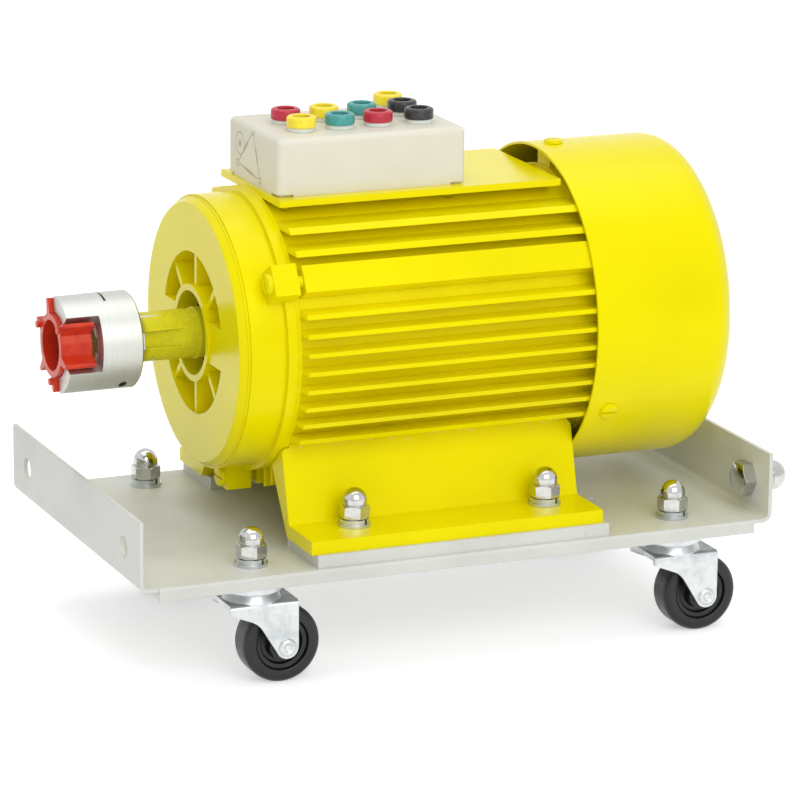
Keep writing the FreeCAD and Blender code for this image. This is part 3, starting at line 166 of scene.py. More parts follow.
# The spread of a cloud's values over which one tone drifts into another, or a mark shows
SOFT_DRIFT = (0.3, 0.8)
CLOUDY_DRIFT = (0.35, 0.75)
CHIP_SPREAD = (0.58, 0.64)
THIN_PAINT_SPREAD = (0.42, 0.62)
SCUFF_SPREAD = (0.70, 0.78)
DUST_SPREAD = (0.60, 0.80)

# How strongly marks show, how far gloss drifts to either side, and how the swells of the enamel
# compare with its orange peel
CHIP_STRENGTH = 0.6
SCUFF_STRENGTH = 0.35
DUST_STRENGTH = 0.06
LINE_GLOSS = 0.03
GRAIN_GLOSS = 0.05
SWELL_SHARE = 1.6

# Patches in each metre along the three axes, where a pattern is drawn out
SCUFF_STRETCH = (240, 26, 240)
SHEET_STRETCH = (2000, 30, 30)

# Shader settings: a Mix node's factor, first and second colour, its result, and a Bevel's samples
MIX_SOCKETS = (0, 6, 7)
MIX_RESULT = 2
BEVEL_SAMPLES = 4

# Chips on the feet, by their height from the top edge
CHIP_BAND = (-4.6 * MM, -1.2 * MM)

# The drive shield's turned ring, paled by a painted reflection of the white surroundings, by its
# radius and by its depth behind the front face
RING_INSIDE = (36 * MM, 40 * MM)
RING_OUTSIDE = (68 * MM, 64 * MM)
RING_DEPTH = (5 * MM, 2 * MM)
RING_REFLECTION_STRENGTH = 0.22

# The cowl's rear corner with a painted reflection on its rounding, by its place from the rear end
COWL_CORNER = (-9 * MM, -5 * MM)
COWL_REFLECTION_STRENGTH = 0.30

# The shaft: the hub's shade and the bright wear by their distance behind the hub, the height and
# the radius over which the wear begins, and the keyway's edges with the width of their wear
HUB_SHADE = (7 * MM, 3 * MM)
HUB_SHADE_STRENGTH = 0.8
WEAR_REACH = (16 * MM, 9 * MM)
WEAR_ABOVE = (0, 2 * MM)
WEAR_RADIUS = (11.4 * MM, 11.8 * MM)
KEYWAY_EDGE = 4.2 * MM
EDGE_WEAR = (1.0 * MM, 0.3 * MM)
THIN_PAINT_STRENGTH = 0.35

# The winding diagram on the box's drive-side face: places across and up, and widths of lines
DIAGRAM_PEAK = (-0.3 * MM, 250.2 * MM)
DIAGRAM_BACK = (19.6 * MM, 231.6 * MM)
DIAGRAM_FRONT = (-9.6 * MM, 228.1 * MM)
ROTOR_PLACE = (17.0 * MM, 241.4 * MM)
ROTOR_RADIUS = 5.4 * MM
ROTOR_LINE = 0.45 * MM
ROTOR_DOT = 2.6 * MM
TERMINAL_RADIUS = 1.5 * MM
TERMINAL_LINE = 0.55 * MM
LEAD_LINE = 0.5 * MM
COIL_LINE = 1.1 * MM
LEAD_SHARES = (0.10, 0.90)
COIL_SHARES = (0.36, 0.64)
FULL_INK_SHARE = 0.4
PRINT_DEPTH = (0.6 * MM, 0.3 * MM)
PRINT_STRENGTH = 0.55


class Value:
    """A socket of a shader, so that its maths reads as Python sums and products."""

    def __init__(self, nodes, socket):
        self.nodes = nodes
        self.socket = socket

    def maths(self, operation, *others):
        return self.nodes.node("Math", {"operation": operation}, [self, *others])

    def __add__(self, other):
        return self.maths("ADD", other)

    def __sub__(self, other):
        return self.maths("SUBTRACT", other)

    def __mul__(self, other):
        return self.maths("MULTIPLY", other)

    def __truediv__(self, other):
        return self.maths("DIVIDE", other)

    def __radd__(self, other):
        return self.nodes.node("Math", {"operation": "ADD"}, [other, self])

    def __rsub__(self, other):
        return self.nodes.node("Math", {"operation": "SUBTRACT"}, [other, self])

    def size(self):
        return self.maths("ABSOLUTE")

    def root(self):
        return self.maths("SQRT")

    def least(self, other):
        return self.maths("MINIMUM", other)

    def most(self, other):
        return self.maths("MAXIMUM", other)

    def between(self, low, high):
        """Rises smoothly from 0 at low to 1 at high, or falls where low is the larger."""
        settings = {"interpolation_type": "SMOOTHSTEP"}
        inputs = {"Value": self, "From Min": min(low, high), "From Max": max(low, high)}
        step = self.nodes.node("MapRange", settings, inputs)
        return step if low < high else 1 - step


class Nodes:
    """A tree of shader nodes, and the patterns that are made in it."""

    def __init__(self, tree):
        self.tree = tree

    def join(self, socket, value):
        """Sets a socket to a number, a colour or a vector, or links a value to it."""
        if isinstance(value, Value):
            self.tree.links.new(value.socket, socket)
        elif socket.type == "RGBA":
            socket.default_value = (*value[:3], 1)
        else:
            socket.default_value = value

    def node(self, kind, settings=None, inputs=None, output=0):
        """Adds a node with its settings and inputs, and returns the value of one output."""
        made = self.tree.nodes.new("ShaderNode" + kind)
        for name, value in (settings or {}).items():
            setattr(made, name, value)
        pairs = inputs.items() if isinstance(inputs, dict) else enumerate(inputs or [])
        for name, value in pairs:
            self.join(made.inputs[name], value)
        return Value(self, made.outputs[output])

    def seen(self):
        """1 for rays that the camera sees, straight, mirrored or through glass, 0 for others."""
        camera = self.node("LightPath", output="Is Camera Ray")
        mirrored = self.node("LightPath", output="Is Glossy Ray")
        through = self.node("LightPath", output="Is Transmission Ray")
        return (camera + mirrored + through).least(1.0)

    def place(self, stretch=(1, 1, 1), centre=(0, 0, 0)):
        """Where a point of the piece lies, measured from centre and stretched along each axis."""
        spot = self.node("TexCoord", output="Object")
        spot = self.node("VectorMath", {"operation": "SUBTRACT"}, [spot, centre])
        return self.node("VectorMath", {"operation": "MULTIPLY"}, [spot, stretch])

    def coordinates(self, centre=(0, 0, 0)):
        """How far a point lies along the shaft, across it to the back, and up from centre."""
        split = self.tree.nodes.new("ShaderNodeSeparateXYZ")
        self.join(split.inputs[0], self.place(centre=centre))
        return [Value(self, output) for output in split.outputs]

    def cloud(self, size, detail=2.0, roughness=0.5, where=None):
        """Soft noise whose patches are about this size."""
        inputs = {"Vector": where or self.place(), "Scale": 1 / size, "Detail": detail,
                  "Roughness": roughness}
        return self.node("TexNoise", {}, inputs)

    def rings(self, width, detail=1.0, roughness=0.5):
        """Thin lines round the shaft, on rims and faces alike."""
        along, across, up = self.coordinates(centre=SHAFT_AXIS)
        spot = self.node("CombineXYZ", {}, [along / width, diagonal(across, up) / width, 0.0])
        return self.cloud(size=1.0, detail=detail, roughness=roughness, where=spot)

    def blend(self, factor, first, second):
        """The first colour where the factor is 0 and the second where it is 1."""
        made = self.tree.nodes.new("ShaderNodeMix")
        made.data_type = "RGBA"
        for index, value in zip(MIX_SOCKETS, (factor, first, second)):
            self.join(made.inputs[index], value)
        return Value(self, made.outputs[MIX_RESULT])


class Finish(Nodes):
    """A material: one shader, and the nodes that vary its colour, roughness and relief."""

    def __init__(self, name, **fixed):
        self.material = bpy.data.materials.new(name)
        self.material.use_nodes = True
        super().__init__(self.material.node_tree)
        self.shader = self.tree.nodes["Principled BSDF"]
        for socket, value in fixed.items():
            self.give(socket.replace("_", " "), value)

    def give(self, socket, value):
        """Sets one of the shader's sockets to a number or a colour, or links a value to it."""
        self.join(self.shader.inputs[socket], value)

    def gloss(self, cloud, smooth, rough):
        """Varies the roughness with a cloud, between two bounds."""
        self.give("Roughness", smooth + cloud * (rough - smooth))

    def relief(self, height, depth, edge=0.0):
        """Raises the surface by the height's share of depth, and softens sharp edges by edge."""
        inputs = {"Height": height, "Distance": depth, "Strength": 1.0}
        if edge:
            inputs["Normal"] = self.node("Bevel", {"samples": BEVEL_SAMPLES}, {"Radius": edge})
        self.give("Normal", self.node("Bump", {}, inputs))


def diagonal(across, up):
    """The distance that two values at right angles span."""
    return (across * across + up * up).root()


def enamel(name, extra=None):
    """Thick glossy paint: faint orange peel, soft drifts of tone, and dust that dulls its gloss.

    The function extra, if given, takes the finish and its colour and returns the colour it wears.
    """
    paint = Finish(name, IOR=1.5, Specular_IOR_Level=0.4, Specular_Tint=ENAMEL_SHINE)
    drift = paint.cloud(size=60 * MM, detail=3.0)
    colour = paint.blend(drift.between(*CLOUDY_DRIFT), ENAMEL_YELLOW, ENAMEL_YELLOW_DEEP)
    paint.give("Base Color", extra(paint, colour) if extra else colour)
    paint.gloss(paint.cloud(size=18 * MM, detail=4.0, roughness=0.6), smooth=0.13, rough=0.31)
    peel = paint.cloud(size=2.2 * MM, detail=1.0)
    swell = paint.cloud(size=9 * MM, detail=1.0)
    paint.relief(peel + swell * SWELL_SHARE, depth=0.045 * MM, edge=0.45 * MM)
    return paint


def chipped_seam(paint, colour):
    """Pale chips along the top edge of the feet, where the frame sits on them."""
    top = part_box("foot_front")[1].z
    up = paint.coordinates()[2]
    band = (up - top).between(*CHIP_BAND)
    chips = paint.cloud(size=3.4 * MM, detail=5.0, roughness=0.85).between(*CHIP_SPREAD)
    return paint.blend(band * chips * CHIP_STRENGTH, colour, ENAMEL_CHIP)


def painted_reflection_shield_face(paint, colour):
    """A painted reflection: the shield's turned ring round the shaft, paled towards white where its
    gloss mirrors the white surroundings.
    """
    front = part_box("drive_end_shield")[0].x
    along, across, up = paint.coordinates(centre=SHAFT_AXIS)
    radius = diagonal(across, up)
    ring_area = radius.between(*RING_INSIDE) * radius.between(*RING_OUTSIDE)
    face = ring_area * (along - front).between(*RING_DEPTH)
    # Painted reflection: the ring face is blended towards a paler yellow
    return paint.blend(face * RING_REFLECTION_STRENGTH, colour, SHIELD_FACE_REFLECTION)


def painted_reflection_rear_band(paint, colour):
    """A painted reflection: the cowl's rear corner, paled and washed out where its rounding mirrors
    the white surroundings.
    """
    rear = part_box("fan_cowl")[1].x
    along = paint.coordinates()[0]
    corner = (along - rear).between(*COWL_CORNER)
    # Painted reflection: the corner is blended towards a paler, washed-out yellow
    return paint.blend(corner * COWL_REFLECTION_STRENGTH, colour, COWL_CORNER_REFLECTION)


def painted_shaft():
    """Thin paint over steel: a painted shade by the hub, and worn bright along the keyway's edges.
    """
    hub_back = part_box("coupling_hub")[1].x
    paint = Finish("painted_shaft", IOR=1.5, Specular_Tint=ENAMEL_SHINE)
    along, across, up = paint.coordinates(centre=SHAFT_AXIS)
    radius = diagonal(across, up)
    behind = along - hub_back
    worn = paint.cloud(size=3 * MM, detail=3.0, roughness=0.6).between(*THIN_PAINT_SPREAD)
    edge = (across.size() - KEYWAY_EDGE).size().between(*EDGE_WEAR)
    bright = edge * up.between(*WEAR_ABOVE) * radius.between(*WEAR_RADIUS)
    bright = bright * behind.between(*WEAR_REACH)
    tone = paint.blend(worn * THIN_PAINT_STRENGTH, SHAFT_PAINT, ENAMEL_YELLOW_DEEP)
    # Painted shade: the shaft is darkened towards the hub, where the hub shades it
    tone = paint.blend(behind.between(*HUB_SHADE) * HUB_SHADE_STRENGTH, tone, SHAFT_SHADE)
    paint.give("Base Color", paint.blend(bright, tone, BARE_STEEL))
    paint.give("Metallic", bright)
    paint.gloss(worn, smooth=0.26, rough=0.40)
    paint.relief(paint.cloud(size=0.8 * MM), depth=0.01 * MM, edge=0.3 * MM)
    return paint


def tray_paint():
    """Powder coat on folded sheet: a fine pebble, and a few scuffs."""
    paint = Finish("pale_grey_powder_coat")
    drift = paint.cloud(size=45 * MM, detail=4.0)
    streaks = paint.place(stretch=SCUFF_STRETCH)
    scuffs = paint.cloud(size=1.0, detail=3.0, roughness=0.6, where=streaks)
    tone = paint.blend(drift.between(*SOFT_DRIFT), TRAY_GREY, TRAY_GREY_DEEP)
    tone = paint.blend(scuffs.between(*SCUFF_SPREAD) * SCUFF_STRENGTH, tone, DUST)
    paint.give("Base Color", tone)
    paint.gloss(drift, smooth=0.34, rough=0.56)
    paint.relief(paint.cloud(size=1.1 * MM), depth=0.035 * MM, edge=0.35 * MM)
    return paint


def inked(distance, line):
    """1 where the distance from a drawn line's middle is inside its half width, 0 outside."""
    return distance.between(line, line * FULL_INK_SHARE)


def stroke(across, up, start, end, line):
    """A drawn line from start to end, where across and up are a point's place on the sheet."""
    reach = Vector(end) - Vector(start)
    share = ((across - start[0]) * reach.x + (up - start[1]) * reach.y) / reach.length_squared
    share = share.most(0.0).least(1.0)
    off_across = across - start[0] - share * reach.x
    off_up = up - start[1] - share * reach.y
    return inked(diagonal(off_across, off_up), line)


def ring(across, up, centre, radius, line):
    """A drawn circle; a radius of nothing gives a dot."""
    away = diagonal(across - centre[0], up - centre[1]) - radius
    return inked(away.size(), line)


def winding_diagram(plastic, colour):
    """A printed sign on the box's drive-side face: three coils in a triangle, and a rotor."""
    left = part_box("terminal_box")[0].x
    along, across, up = plastic.coordinates()
    drawn = ring(across, up, ROTOR_PLACE, ROTOR_RADIUS, ROTOR_LINE)
    drawn = drawn.most(ring(across, up, ROTOR_PLACE, 0.0, ROTOR_DOT))
    sides = ((DIAGRAM_PEAK, DIAGRAM_BACK), (DIAGRAM_BACK, DIAGRAM_FRONT),
             (DIAGRAM_FRONT, DIAGRAM_PEAK))
    for start, end in sides:
        for shares, line in ((LEAD_SHARES, LEAD_LINE), (COIL_SHARES, COIL_LINE)):
            first, last = [Vector(start).lerp(Vector(end), share) for share in shares]
            drawn = drawn.most(stroke(across, up, first, last, line))
        drawn = drawn.most(ring(across, up, start, TERMINAL_RADIUS, TERMINAL_LINE))
    printed = drawn * (along - left).between(*PRINT_DEPTH)
    return plastic.blend(printed * PRINT_STRENGTH, colour, INK)


def box_plastic():
    """Moulded case: a fine spark-eroded texture, and the winding diagram on its face."""
    plastic = Finish("pale_grey_moulding")
    drift = plastic.cloud(size=30 * MM, detail=3.0)
    tone = plastic.blend(drift.between(*SOFT_DRIFT), BOX_GREY, BOX_GREY_DEEP)
    plastic.give("Base Color", winding_diagram(plastic, tone))
    plastic.gloss(drift, smooth=0.44, rough=0.58)
    plastic.relief(plastic.cloud(size=0.5 * MM), depth=0.02 * MM, edge=0.4 * MM)
    return plastic


def bright_zinc():
    """Zinc plate with a bluish passivation, cloudy in patches and finely scratched."""
    plate = Finish("bright_zinc", Metallic=1.0)
    bloom = plate.cloud(size=7 * MM, detail=4.0, roughness=0.6)
    plate.give("Base Color", plate.blend(bloom.between(*CLOUDY_DRIFT), ZINC, ZINC_DULL))
    plate.gloss(bloom, smooth=0.24, rough=0.48)
    plate.relief(plate.cloud(size=0.8 * MM, detail=3.0), depth=0.012 * MM, edge=0.25 * MM)
    return plate


def polished_nickel():
    """Polished plate with a faint haze from handling."""
    plate = Finish("polished_nickel", Metallic=1.0)
    haze = plate.cloud(size=4 * MM, detail=4.0, roughness=0.6)
    plate.give("Base Color", plate.blend(haze.between(*CLOUDY_DRIFT), NICKEL, NICKEL_HAZE))
    plate.gloss(haze, smooth=0.06, rough=0.20)
    plate.relief(plate.cloud(size=1.5 * MM), depth=0.006 * MM, edge=0.25 * MM)
    return plate


def turned_metal(name, colour, dull, roughness, line, depth):
    """Metal from the lathe, with fine lines round the shaft."""
    metal = Finish(name, Metallic=1.0)
    lines = metal.rings(width=line, detail=2.0, roughness=0.6)
    metal.give("Base Color", metal.blend(lines.between(*SOFT_DRIFT), colour, dull))
    metal.gloss(lines, smooth=roughness - LINE_GLOSS, rough=roughness + LINE_GLOSS)
    metal.relief(lines, depth=depth, edge=0.3 * MM)
    return metal


def red_elastomer():
    """The coupling's glossy star."""
    rubber = Finish("red_elastomer", IOR=1.5, Specular_Tint=ELASTOMER_SHINE, Coat_Weight=0.15,
                    Coat_Roughness=0.1)
    drift = rubber.cloud(size=6 * MM, detail=3.0)
    tone = rubber.blend(drift.between(*SOFT_DRIFT), ELASTOMER_RED, ELASTOMER_DEEP)
    rubber.give("Base Color", tone)
    rubber.gloss(drift, smooth=0.24, rough=0.38)
    rubber.relief(drift, depth=0.08 * MM, edge=0.4 * MM)
    return rubber


def wheel_plastic():
    """Hard black plastic, with patches of dust."""
    plastic = Finish("black_wheel_plastic")
    dust = plastic.cloud(size=2.0 * MM, detail=5.0, roughness=0.7).between(*DUST_SPREAD)
    plastic.give("Base Color", plastic.blend(dust * DUST_STRENGTH, WHEEL_BLACK, DUST))
    plastic.gloss(plastic.cloud(size=5 * MM, detail=3.0), smooth=0.24, rough=0.44)
    plastic.relief(plastic.cloud(size=1.2 * MM), depth=0.02 * MM, edge=0.3 * MM)
    return plastic


def moulded(name, colour, deep):
    """The glossy insulation of one colour of socket."""
    plastic = Finish(name)
    drift = plastic.cloud(size=3 * MM, detail=3.0)
    plastic.give("Base Color", plastic.blend(drift.between(*SOFT_DRIFT), colour, deep))
    plastic.gloss(drift, smooth=0.26, rough=0.38)
    plastic.relief(plastic.cloud(size=0.7 * MM, detail=1.0), depth=0.01 * MM, edge=0.2 * MM)
    return plastic


def laminations():
    """Stacked sheet steel: one thin line for each sheet along the shaft."""
    steel = Finish("stacked_steel", Roughness=0.45, Metallic=1.0)
    sheets = steel.cloud(size=1.0, detail=1.0, where=steel.place(stretch=SHEET_STRETCH))
    steel.give("Base Color", steel.blend(sheets, SHEET_STEEL, SHEET_STEEL_GAP))
    steel.relief(sheets, depth=0.1 * MM)
    return steel


def windings():
    """Varnished copper turns, wound round the bore."""
    copper = Finish("varnished_copper", Roughness=0.3, Metallic=1.0)
    turns = copper.rings(width=0.8 * MM)
    copper.give("Base Color", copper.blend(turns, COPPER, COPPER_GAP))
    copper.relief(turns, depth=0.3 * MM)
    return copper


def grained(name, colour, deep, roughness, metallic=0.0):
    """A casting, forging or moulding without gloss, with a fine grain."""
    skin = Finish(name, Metallic=metallic)
    grain = skin.cloud(size=2.5 * MM, detail=4.0, roughness=0.6)
    skin.give("Base Color", skin.blend(grain.between(*SOFT_DRIFT), colour, deep))
    skin.gloss(grain, smooth=roughness - GRAIN_GLOSS, rough=roughness + GRAIN_GLOSS)
    skin.relief(grain, depth=0.05 * MM, edge=0.3 * MM)
    return skin


def arc(across, up, radius, start, end, steps):
    """Points of a profile along an arc round (across, up), from start to end in degrees."""
    points = []
    for step in range(steps + 1):
        angle = math.radians(start + (end - start) * step / steps)
        points.append((across + radius * math.cos(angle), up + radius * math.sin(angle)))
    return points


def mirrored(profile):
    """A profile's points below its middle plane, from the far end back."""
    return [(radius, -height) for radius, height in reversed(profile)]


def start_shape(name, add_primitive, **sizes):
    """Adds a primitive with nothing else selected, and opens it for editing."""
    bpy.ops.object.select_all(action="DESELECT")
    add_primitive(**sizes)
    piece = bpy.context.object
    piece.name = name
    bpy.ops.object.mode_set(mode="EDIT")
    return piece


def settle(piece):
    """Merges a shape's doubles, turns its faces outwards and shades its rounded faces smooth."""
    bpy.ops.object.select_all(action="DESELECT")
    piece.select_set(True)
    bpy.context.view_layer.objects.active = piece
    bpy.ops.object.mode_set(mode="EDIT")
    bpy.ops.mesh.select_all(action="SELECT")
    bpy.ops.mesh.remove_doubles(threshold=MERGE_BELOW)
    bpy.ops.mesh.normals_make_consistent(inside=False)
    bpy.ops.object.mode_set(mode="OBJECT")
    bpy.ops.object.shade_smooth_by_angle(angle=SMOOTH_BELOW)
    return piece


def turned(name, profile):
    """A shape turned on the lathe round Z; the profile lists (radius, height) in millimetres.

    The profile runs from one pole to the other, or back to its first point for a ring.
    """
    piece = start_shape(name, bpy.ops.mesh.primitive_plane_add, size=MM)
    bpy.ops.mesh.merge(type="CENTER")
    spots = [Vector((radius * MM, 0, height * MM)) for radius, height in profile]
    bpy.ops.transform.translate(value=spots[0])
    for last, spot in zip(spots, spots[1:]):
        bpy.ops.mesh.extrude_region_move(TRANSFORM_OT_translate={"value": spot - last})
    bpy.ops.mesh.select_all(action="SELECT")
    bpy.ops.mesh.spin(steps=TURN_STEPS, angle=2 * math.pi, center=(0, 0, 0), axis=(0, 0, 1))
    bpy.ops.object.mode_set(mode="OBJECT")
    return settle(piece)


def combine(piece, tool, operation):
    """Joins a tool's shape to a piece, cuts it away, or keeps only what they share."""
    bpy.context.view_layer.objects.active = piece
    step = piece.modifiers.new("step", "BOOLEAN")
    step.operation = operation
    step.object = tool
    bpy.ops.object.modifier_apply(modifier=step.name)
    bpy.data.objects.remove(tool)
    return settle(piece)


def hexagon(name, width, low, high, both_ends=True):
    """A hexagonal bar along Z, its corners turned down at its low end or at both ends."""
    corner = width / math.sqrt(3)
    bar = start_shape(name, bpy.ops.mesh.primitive_cylinder_add, vertices=6,
                      radius=corner * MM, depth=(high - low) * MM)
    bpy.ops.transform.translate(value=(0, 0, (low + high) / 2 * MM))
    bpy.ops.object.mode_set(mode="OBJECT")
    face = HEX_FACE_SHARE * width
    outside = corner + OVERRUN
    rise = (outside - face) * CHAMFER_SLOPE
    envelope = [(0, low), (face, low), (outside, low + rise), (outside, high - rise),
                (face if both_ends else outside, high), (0, high)]
    return combine(bar, turned("envelope", envelope), "INTERSECT")


def dome_nut(name, width, hex_height, height, dome_width, bore):
    """A cap nut: a chamfered hexagon, a short neck and a polished dome over a blind thread."""
    nut = hexagon(name, width, 0, hex_height)
    dome = dome_width / 2
    neck = dome - NECK_DEPTH
    root = hex_height - CAP_ROOT
    cap = [(0, root), (neck, root), (neck, hex_height + NECK_HEIGHT), (dome, hex_height + NECK_TOP)]
    cap += arc(0, height - dome, dome, 0, 90, DOME_STEPS)
    nut = combine(nut, turned("dome", cap), "UNION")
    half = bore / 2
    depth = height - CAP_WALL
    thread = [(0, -OVERRUN), (half + OVERRUN, -OVERRUN), (half, COUNTERSINK), (half, depth),
              (0, depth + DRILL_POINT)]
    return combine(nut, turned("thread", thread), "DIFFERENCE")


def wall_bolt(head_width, head_height, shank_width, length):
    """A hexagon-head bolt, its head below the origin and its shank above."""
    bolt = hexagon("wall_bolt", head_width, -head_height, 0, both_ends=False)
    half = shank_width / 2
    shank = [(0, -OVERRUN), (half, -OVERRUN), (half, length - BOLT_TIP), (half - BOLT_TIP, length),
             (0, length)]
    return combine(bolt, turned("shank", shank), "UNION")


def slotted_screw(name, head_width, head_height, shank_width, length, slot_width, slot_depth):
    """A screw whose domed head is above the origin, with a slot for the driver."""
    head = head_width / 2
    half = shank_width / 2
    profile = [(0, -length), (half - SCREW_TIP, -length), (half, SCREW_TIP - length), (half, 0)]
    profile += [(head * across, head_height * up) for across, up in SCREW_HEAD_SHARES]
    screw = turned(name, profile)
    blade = start_shape("blade", bpy.ops.mesh.primitive_cube_add, size=MM)
    bpy.ops.transform.resize(value=(head_width + 2 * OVERRUN, slot_width, 2 * slot_depth))
    bpy.ops.transform.translate(value=(0, 0, head_height * MM))
    bpy.ops.object.mode_set(mode="OBJECT")
    return combine(screw, blade, "DIFFERENCE")


def castor_wheel():
    """A moulded wheel: an eased tread, a stepped recess in each side and a hub."""
    hub = [(3.3, 10.8), (7.0, 10.8), (7.5, 10.3), (7.6, 5.2)]
    recess = [(8.2, 4.5), (9.9, 4.4), (10.4, 5.0), (10.6, 6.0), (12.5, 6.2), (13.0, 6.8)]
    rim = [(13.3, 7.7), (13.8, 8.0), (15.9, 8.0)]
    tread = arc(16.2, 4.9, 3.1, 85, 0, TREAD_STEPS) + [(19.3, 2.4)]
    half = hub + recess + rim + tread
    return turned("castor_wheel", half + mirrored(half) + half[:1])


def castor_axle():
    """A tubular rivet through the wheel: each end rolled over into a ring with a dimple."""
    dimple = [(0, 14.5), (1.5, 14.6), (2.1, 15.2)]
    rolled = [(2.5, 15.45), (3.2, 15.45), (3.9, 15.1), (4.3, 14.5), (4.3, 14.0)]
    end = dimple + rolled + [(3.0, 14.0)]
    return turned("castor_axle", end + mirrored(end))


def socket_head():
    """The coloured insulation: a ring with a bevelled top edge, and the well for the plug."""
    outside = [(5.3, -17.0), (5.3, 2.0), (6.9, 2.0), (7.15, 2.3), (7.15, 6.2), (6.95, 6.65)]
    rim = [(6.3, 7.1), (5.9, 7.2), (4.7, 7.2), (4.3, 6.8)]
    well = [(4.3, -12.8), (2.9, -12.8), (2.9, -17.0)]
    return turned("socket_head", well[-1:] + outside + rim + well)


def socket_collar():
    """The pale ring under a socket's head."""
    profile = [(5.35, 0), (6.4, 0), (6.6, 0.2), (6.6, 1.6), (6.4, COLLAR_TOP), (5.35, COLLAR_TOP),
               (5.35, 0)]
    return turned("socket_collar", profile)


def set_out(piece, finish, body, spots, node):
    """Copies a finished piece to each spot, each with its own mesh, in the place of a CAD node."""
    for number, spot in enumerate(spots, 1):
        made = piece.copy()
        made.data = piece.data.copy()
        made.name = f"{piece.name}_{number}"
        made.data.transform(spot)
        made.data.materials.clear()
        made.data.materials.append(finish.material)
        bpy.context.scene.collection.objects.link(made)
        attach(made, body)
        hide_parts(node)


def clear_away(*models):
    """Removes the models that the copies were made from."""
    for model in models:
        bpy.data.objects.remove(model)


def upright_spots(spots_x, spot_y, height):
    """Four places in a rectangle, all at one height."""
    return [Matrix.Translation((x, side * spot_y, height)) for x in spots_x for side in SIDES]


def wall_spots(seat_x, height):
    """Two places in the right wall, where a piece's axis lies along the shaft."""
    along_shaft = Matrix.Rotation(QUARTER_TURN, 4, "Y")
    return [Matrix.Translation((seat_x, side * WALL_BOLT_Y, height)) @ along_shaft
            for side in SIDES]


def round_shaft_spots(angles, seat_x, radius, aim):
    """Places at some angles round the shaft, where aim turns a piece that sits at the front."""
    spots = []
    for angle in angles:
        turn = Matrix.Rotation(math.radians(-angle), 4, "X")
        seat = Matrix.Translation((seat_x, -radius, 0))
        spots.append(Matrix.Translation(SHAFT_AXIS) @ turn @ seat @ aim)
    return spots


def fit_nuts(plate):
    """The dome nuts on the feet, the castors and the tray's wall, and the wall's bolts."""
    nut = dome_nut("dome_nut", **DOME_NUT)
    foot_spots = upright_spots(FOOT_BOLT_X, FOOT_BOLT_Y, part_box("foot_dome_nuts")[0].z)
    set_out(nut, plate, "root", foot_spots, "foot_dome_nuts")
    stem_spots = upright_spots(STEM_X, STEM_Y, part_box("castor_dome_nuts")[0].z)
    set_out(nut, plate, "root", stem_spots, "castor_dome_nuts")
    low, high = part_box("wall_dome_nuts")
    height = (low.z + high.z) / 2
    wall_nut = dome_nut("wall_nut", **WALL_NUT)
    set_out(wall_nut, plate, "root", wall_spots(low.x, height), "wall_dome_nuts")
    low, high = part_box("wall_bolts")
    bolt = wall_bolt(length=(high.x - low.x) / MM - WALL_BOLT["head_height"], **WALL_BOLT)
    bolt_spots = wall_spots(low.x + WALL_BOLT["head_height"] * MM, height)
    set_out(bolt, plate, "root", bolt_spots, "wall_bolts")
    clear_away(nut, wall_nut, bolt)


def fit_castors(black, zinc):
    """The wheels and their rivets."""
    wheel = castor_wheel()
    axle = castor_axle()
    across = Matrix.Rotation(QUARTER_TURN, 4, "X")
    for corner in CORNERS:
        low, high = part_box("castor_wheel_" + corner)
        middle = Matrix.Translation((low + high) / 2) @ across
        set_out(wheel, black, "wheel_" + corner, [middle],
                "castor_wheel_" + corner)
        set_out(axle, zinc, "castor_" + corner, [middle], "castor_axle_" + corner)
    clear_away(wheel, axle)


def fit_screws(paint):
    """The painted screws: three through the cowl, and three through each end shield's lugs."""
    low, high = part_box("cowl_screws")
    to_front = Matrix.Rotation(QUARTER_TURN, 4, "X")
    spots = round_shaft_spots(COWL_SCREW_ANGLES, (low.x + high.x) / 2, COWL_SCREW_RADIUS, to_front)
    screw = slotted_screw("cowl_screw", **COWL_SCREW)
    set_out(screw, paint, "root", spots, "cowl_screws")
    clear_away(screw)
    head_height = SHIELD_SCREW["head_height"]
    for node, way in (("drive_shield_screws", -1), ("fan_shield_screws", 1)):
        low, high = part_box(node)
        screw = slotted_screw(node, length=(high.x - low.x) / MM - head_height, **SHIELD_SCREW)
        seat_x = low.x + head_height * MM if way < 0 else high.x - head_height * MM
        outwards = Matrix.Rotation(QUARTER_TURN * way, 4, "Y")
        spots = round_shaft_spots(SHIELD_SCREW_ANGLES, seat_x, SHIELD_SCREW_RADIUS, outwards)
        set_out(screw, paint, "root", spots, node)
        clear_away(screw)


def fit_sockets():
    """Nine safety sockets in the box's top: a coloured head on a pale collar."""
    low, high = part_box("terminal_box")
    head = socket_head()
    collar = socket_collar()
    pale = moulded("socket_collar", COLLAR_WHITE, COLLAR_SHADE)
    for colour, (tone, deep, places) in SOCKETS.items():
        node = "sockets_" + colour
        plastic = moulded("socket_" + colour, tone, deep)
        dress(plastic, node)
        spots = [Matrix.Translation((low.x + SOCKET_COLUMNS[column], SOCKET_ROWS[row], high.z))
                 for column, row in places]
        head.name = "socket_" + colour
        set_out(head, plastic, "root", spots, node)
        collar.name = "collar_" + node
        set_out(collar, pale, "root", spots, node)
    clear_away(head, collar)


def dress(finish, *names):
    """Gives the CAD nodes of these names a finish."""
    for name in names:
        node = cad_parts[name]
        node.data.materials.clear()
        node.data.materials.append(finish.material)


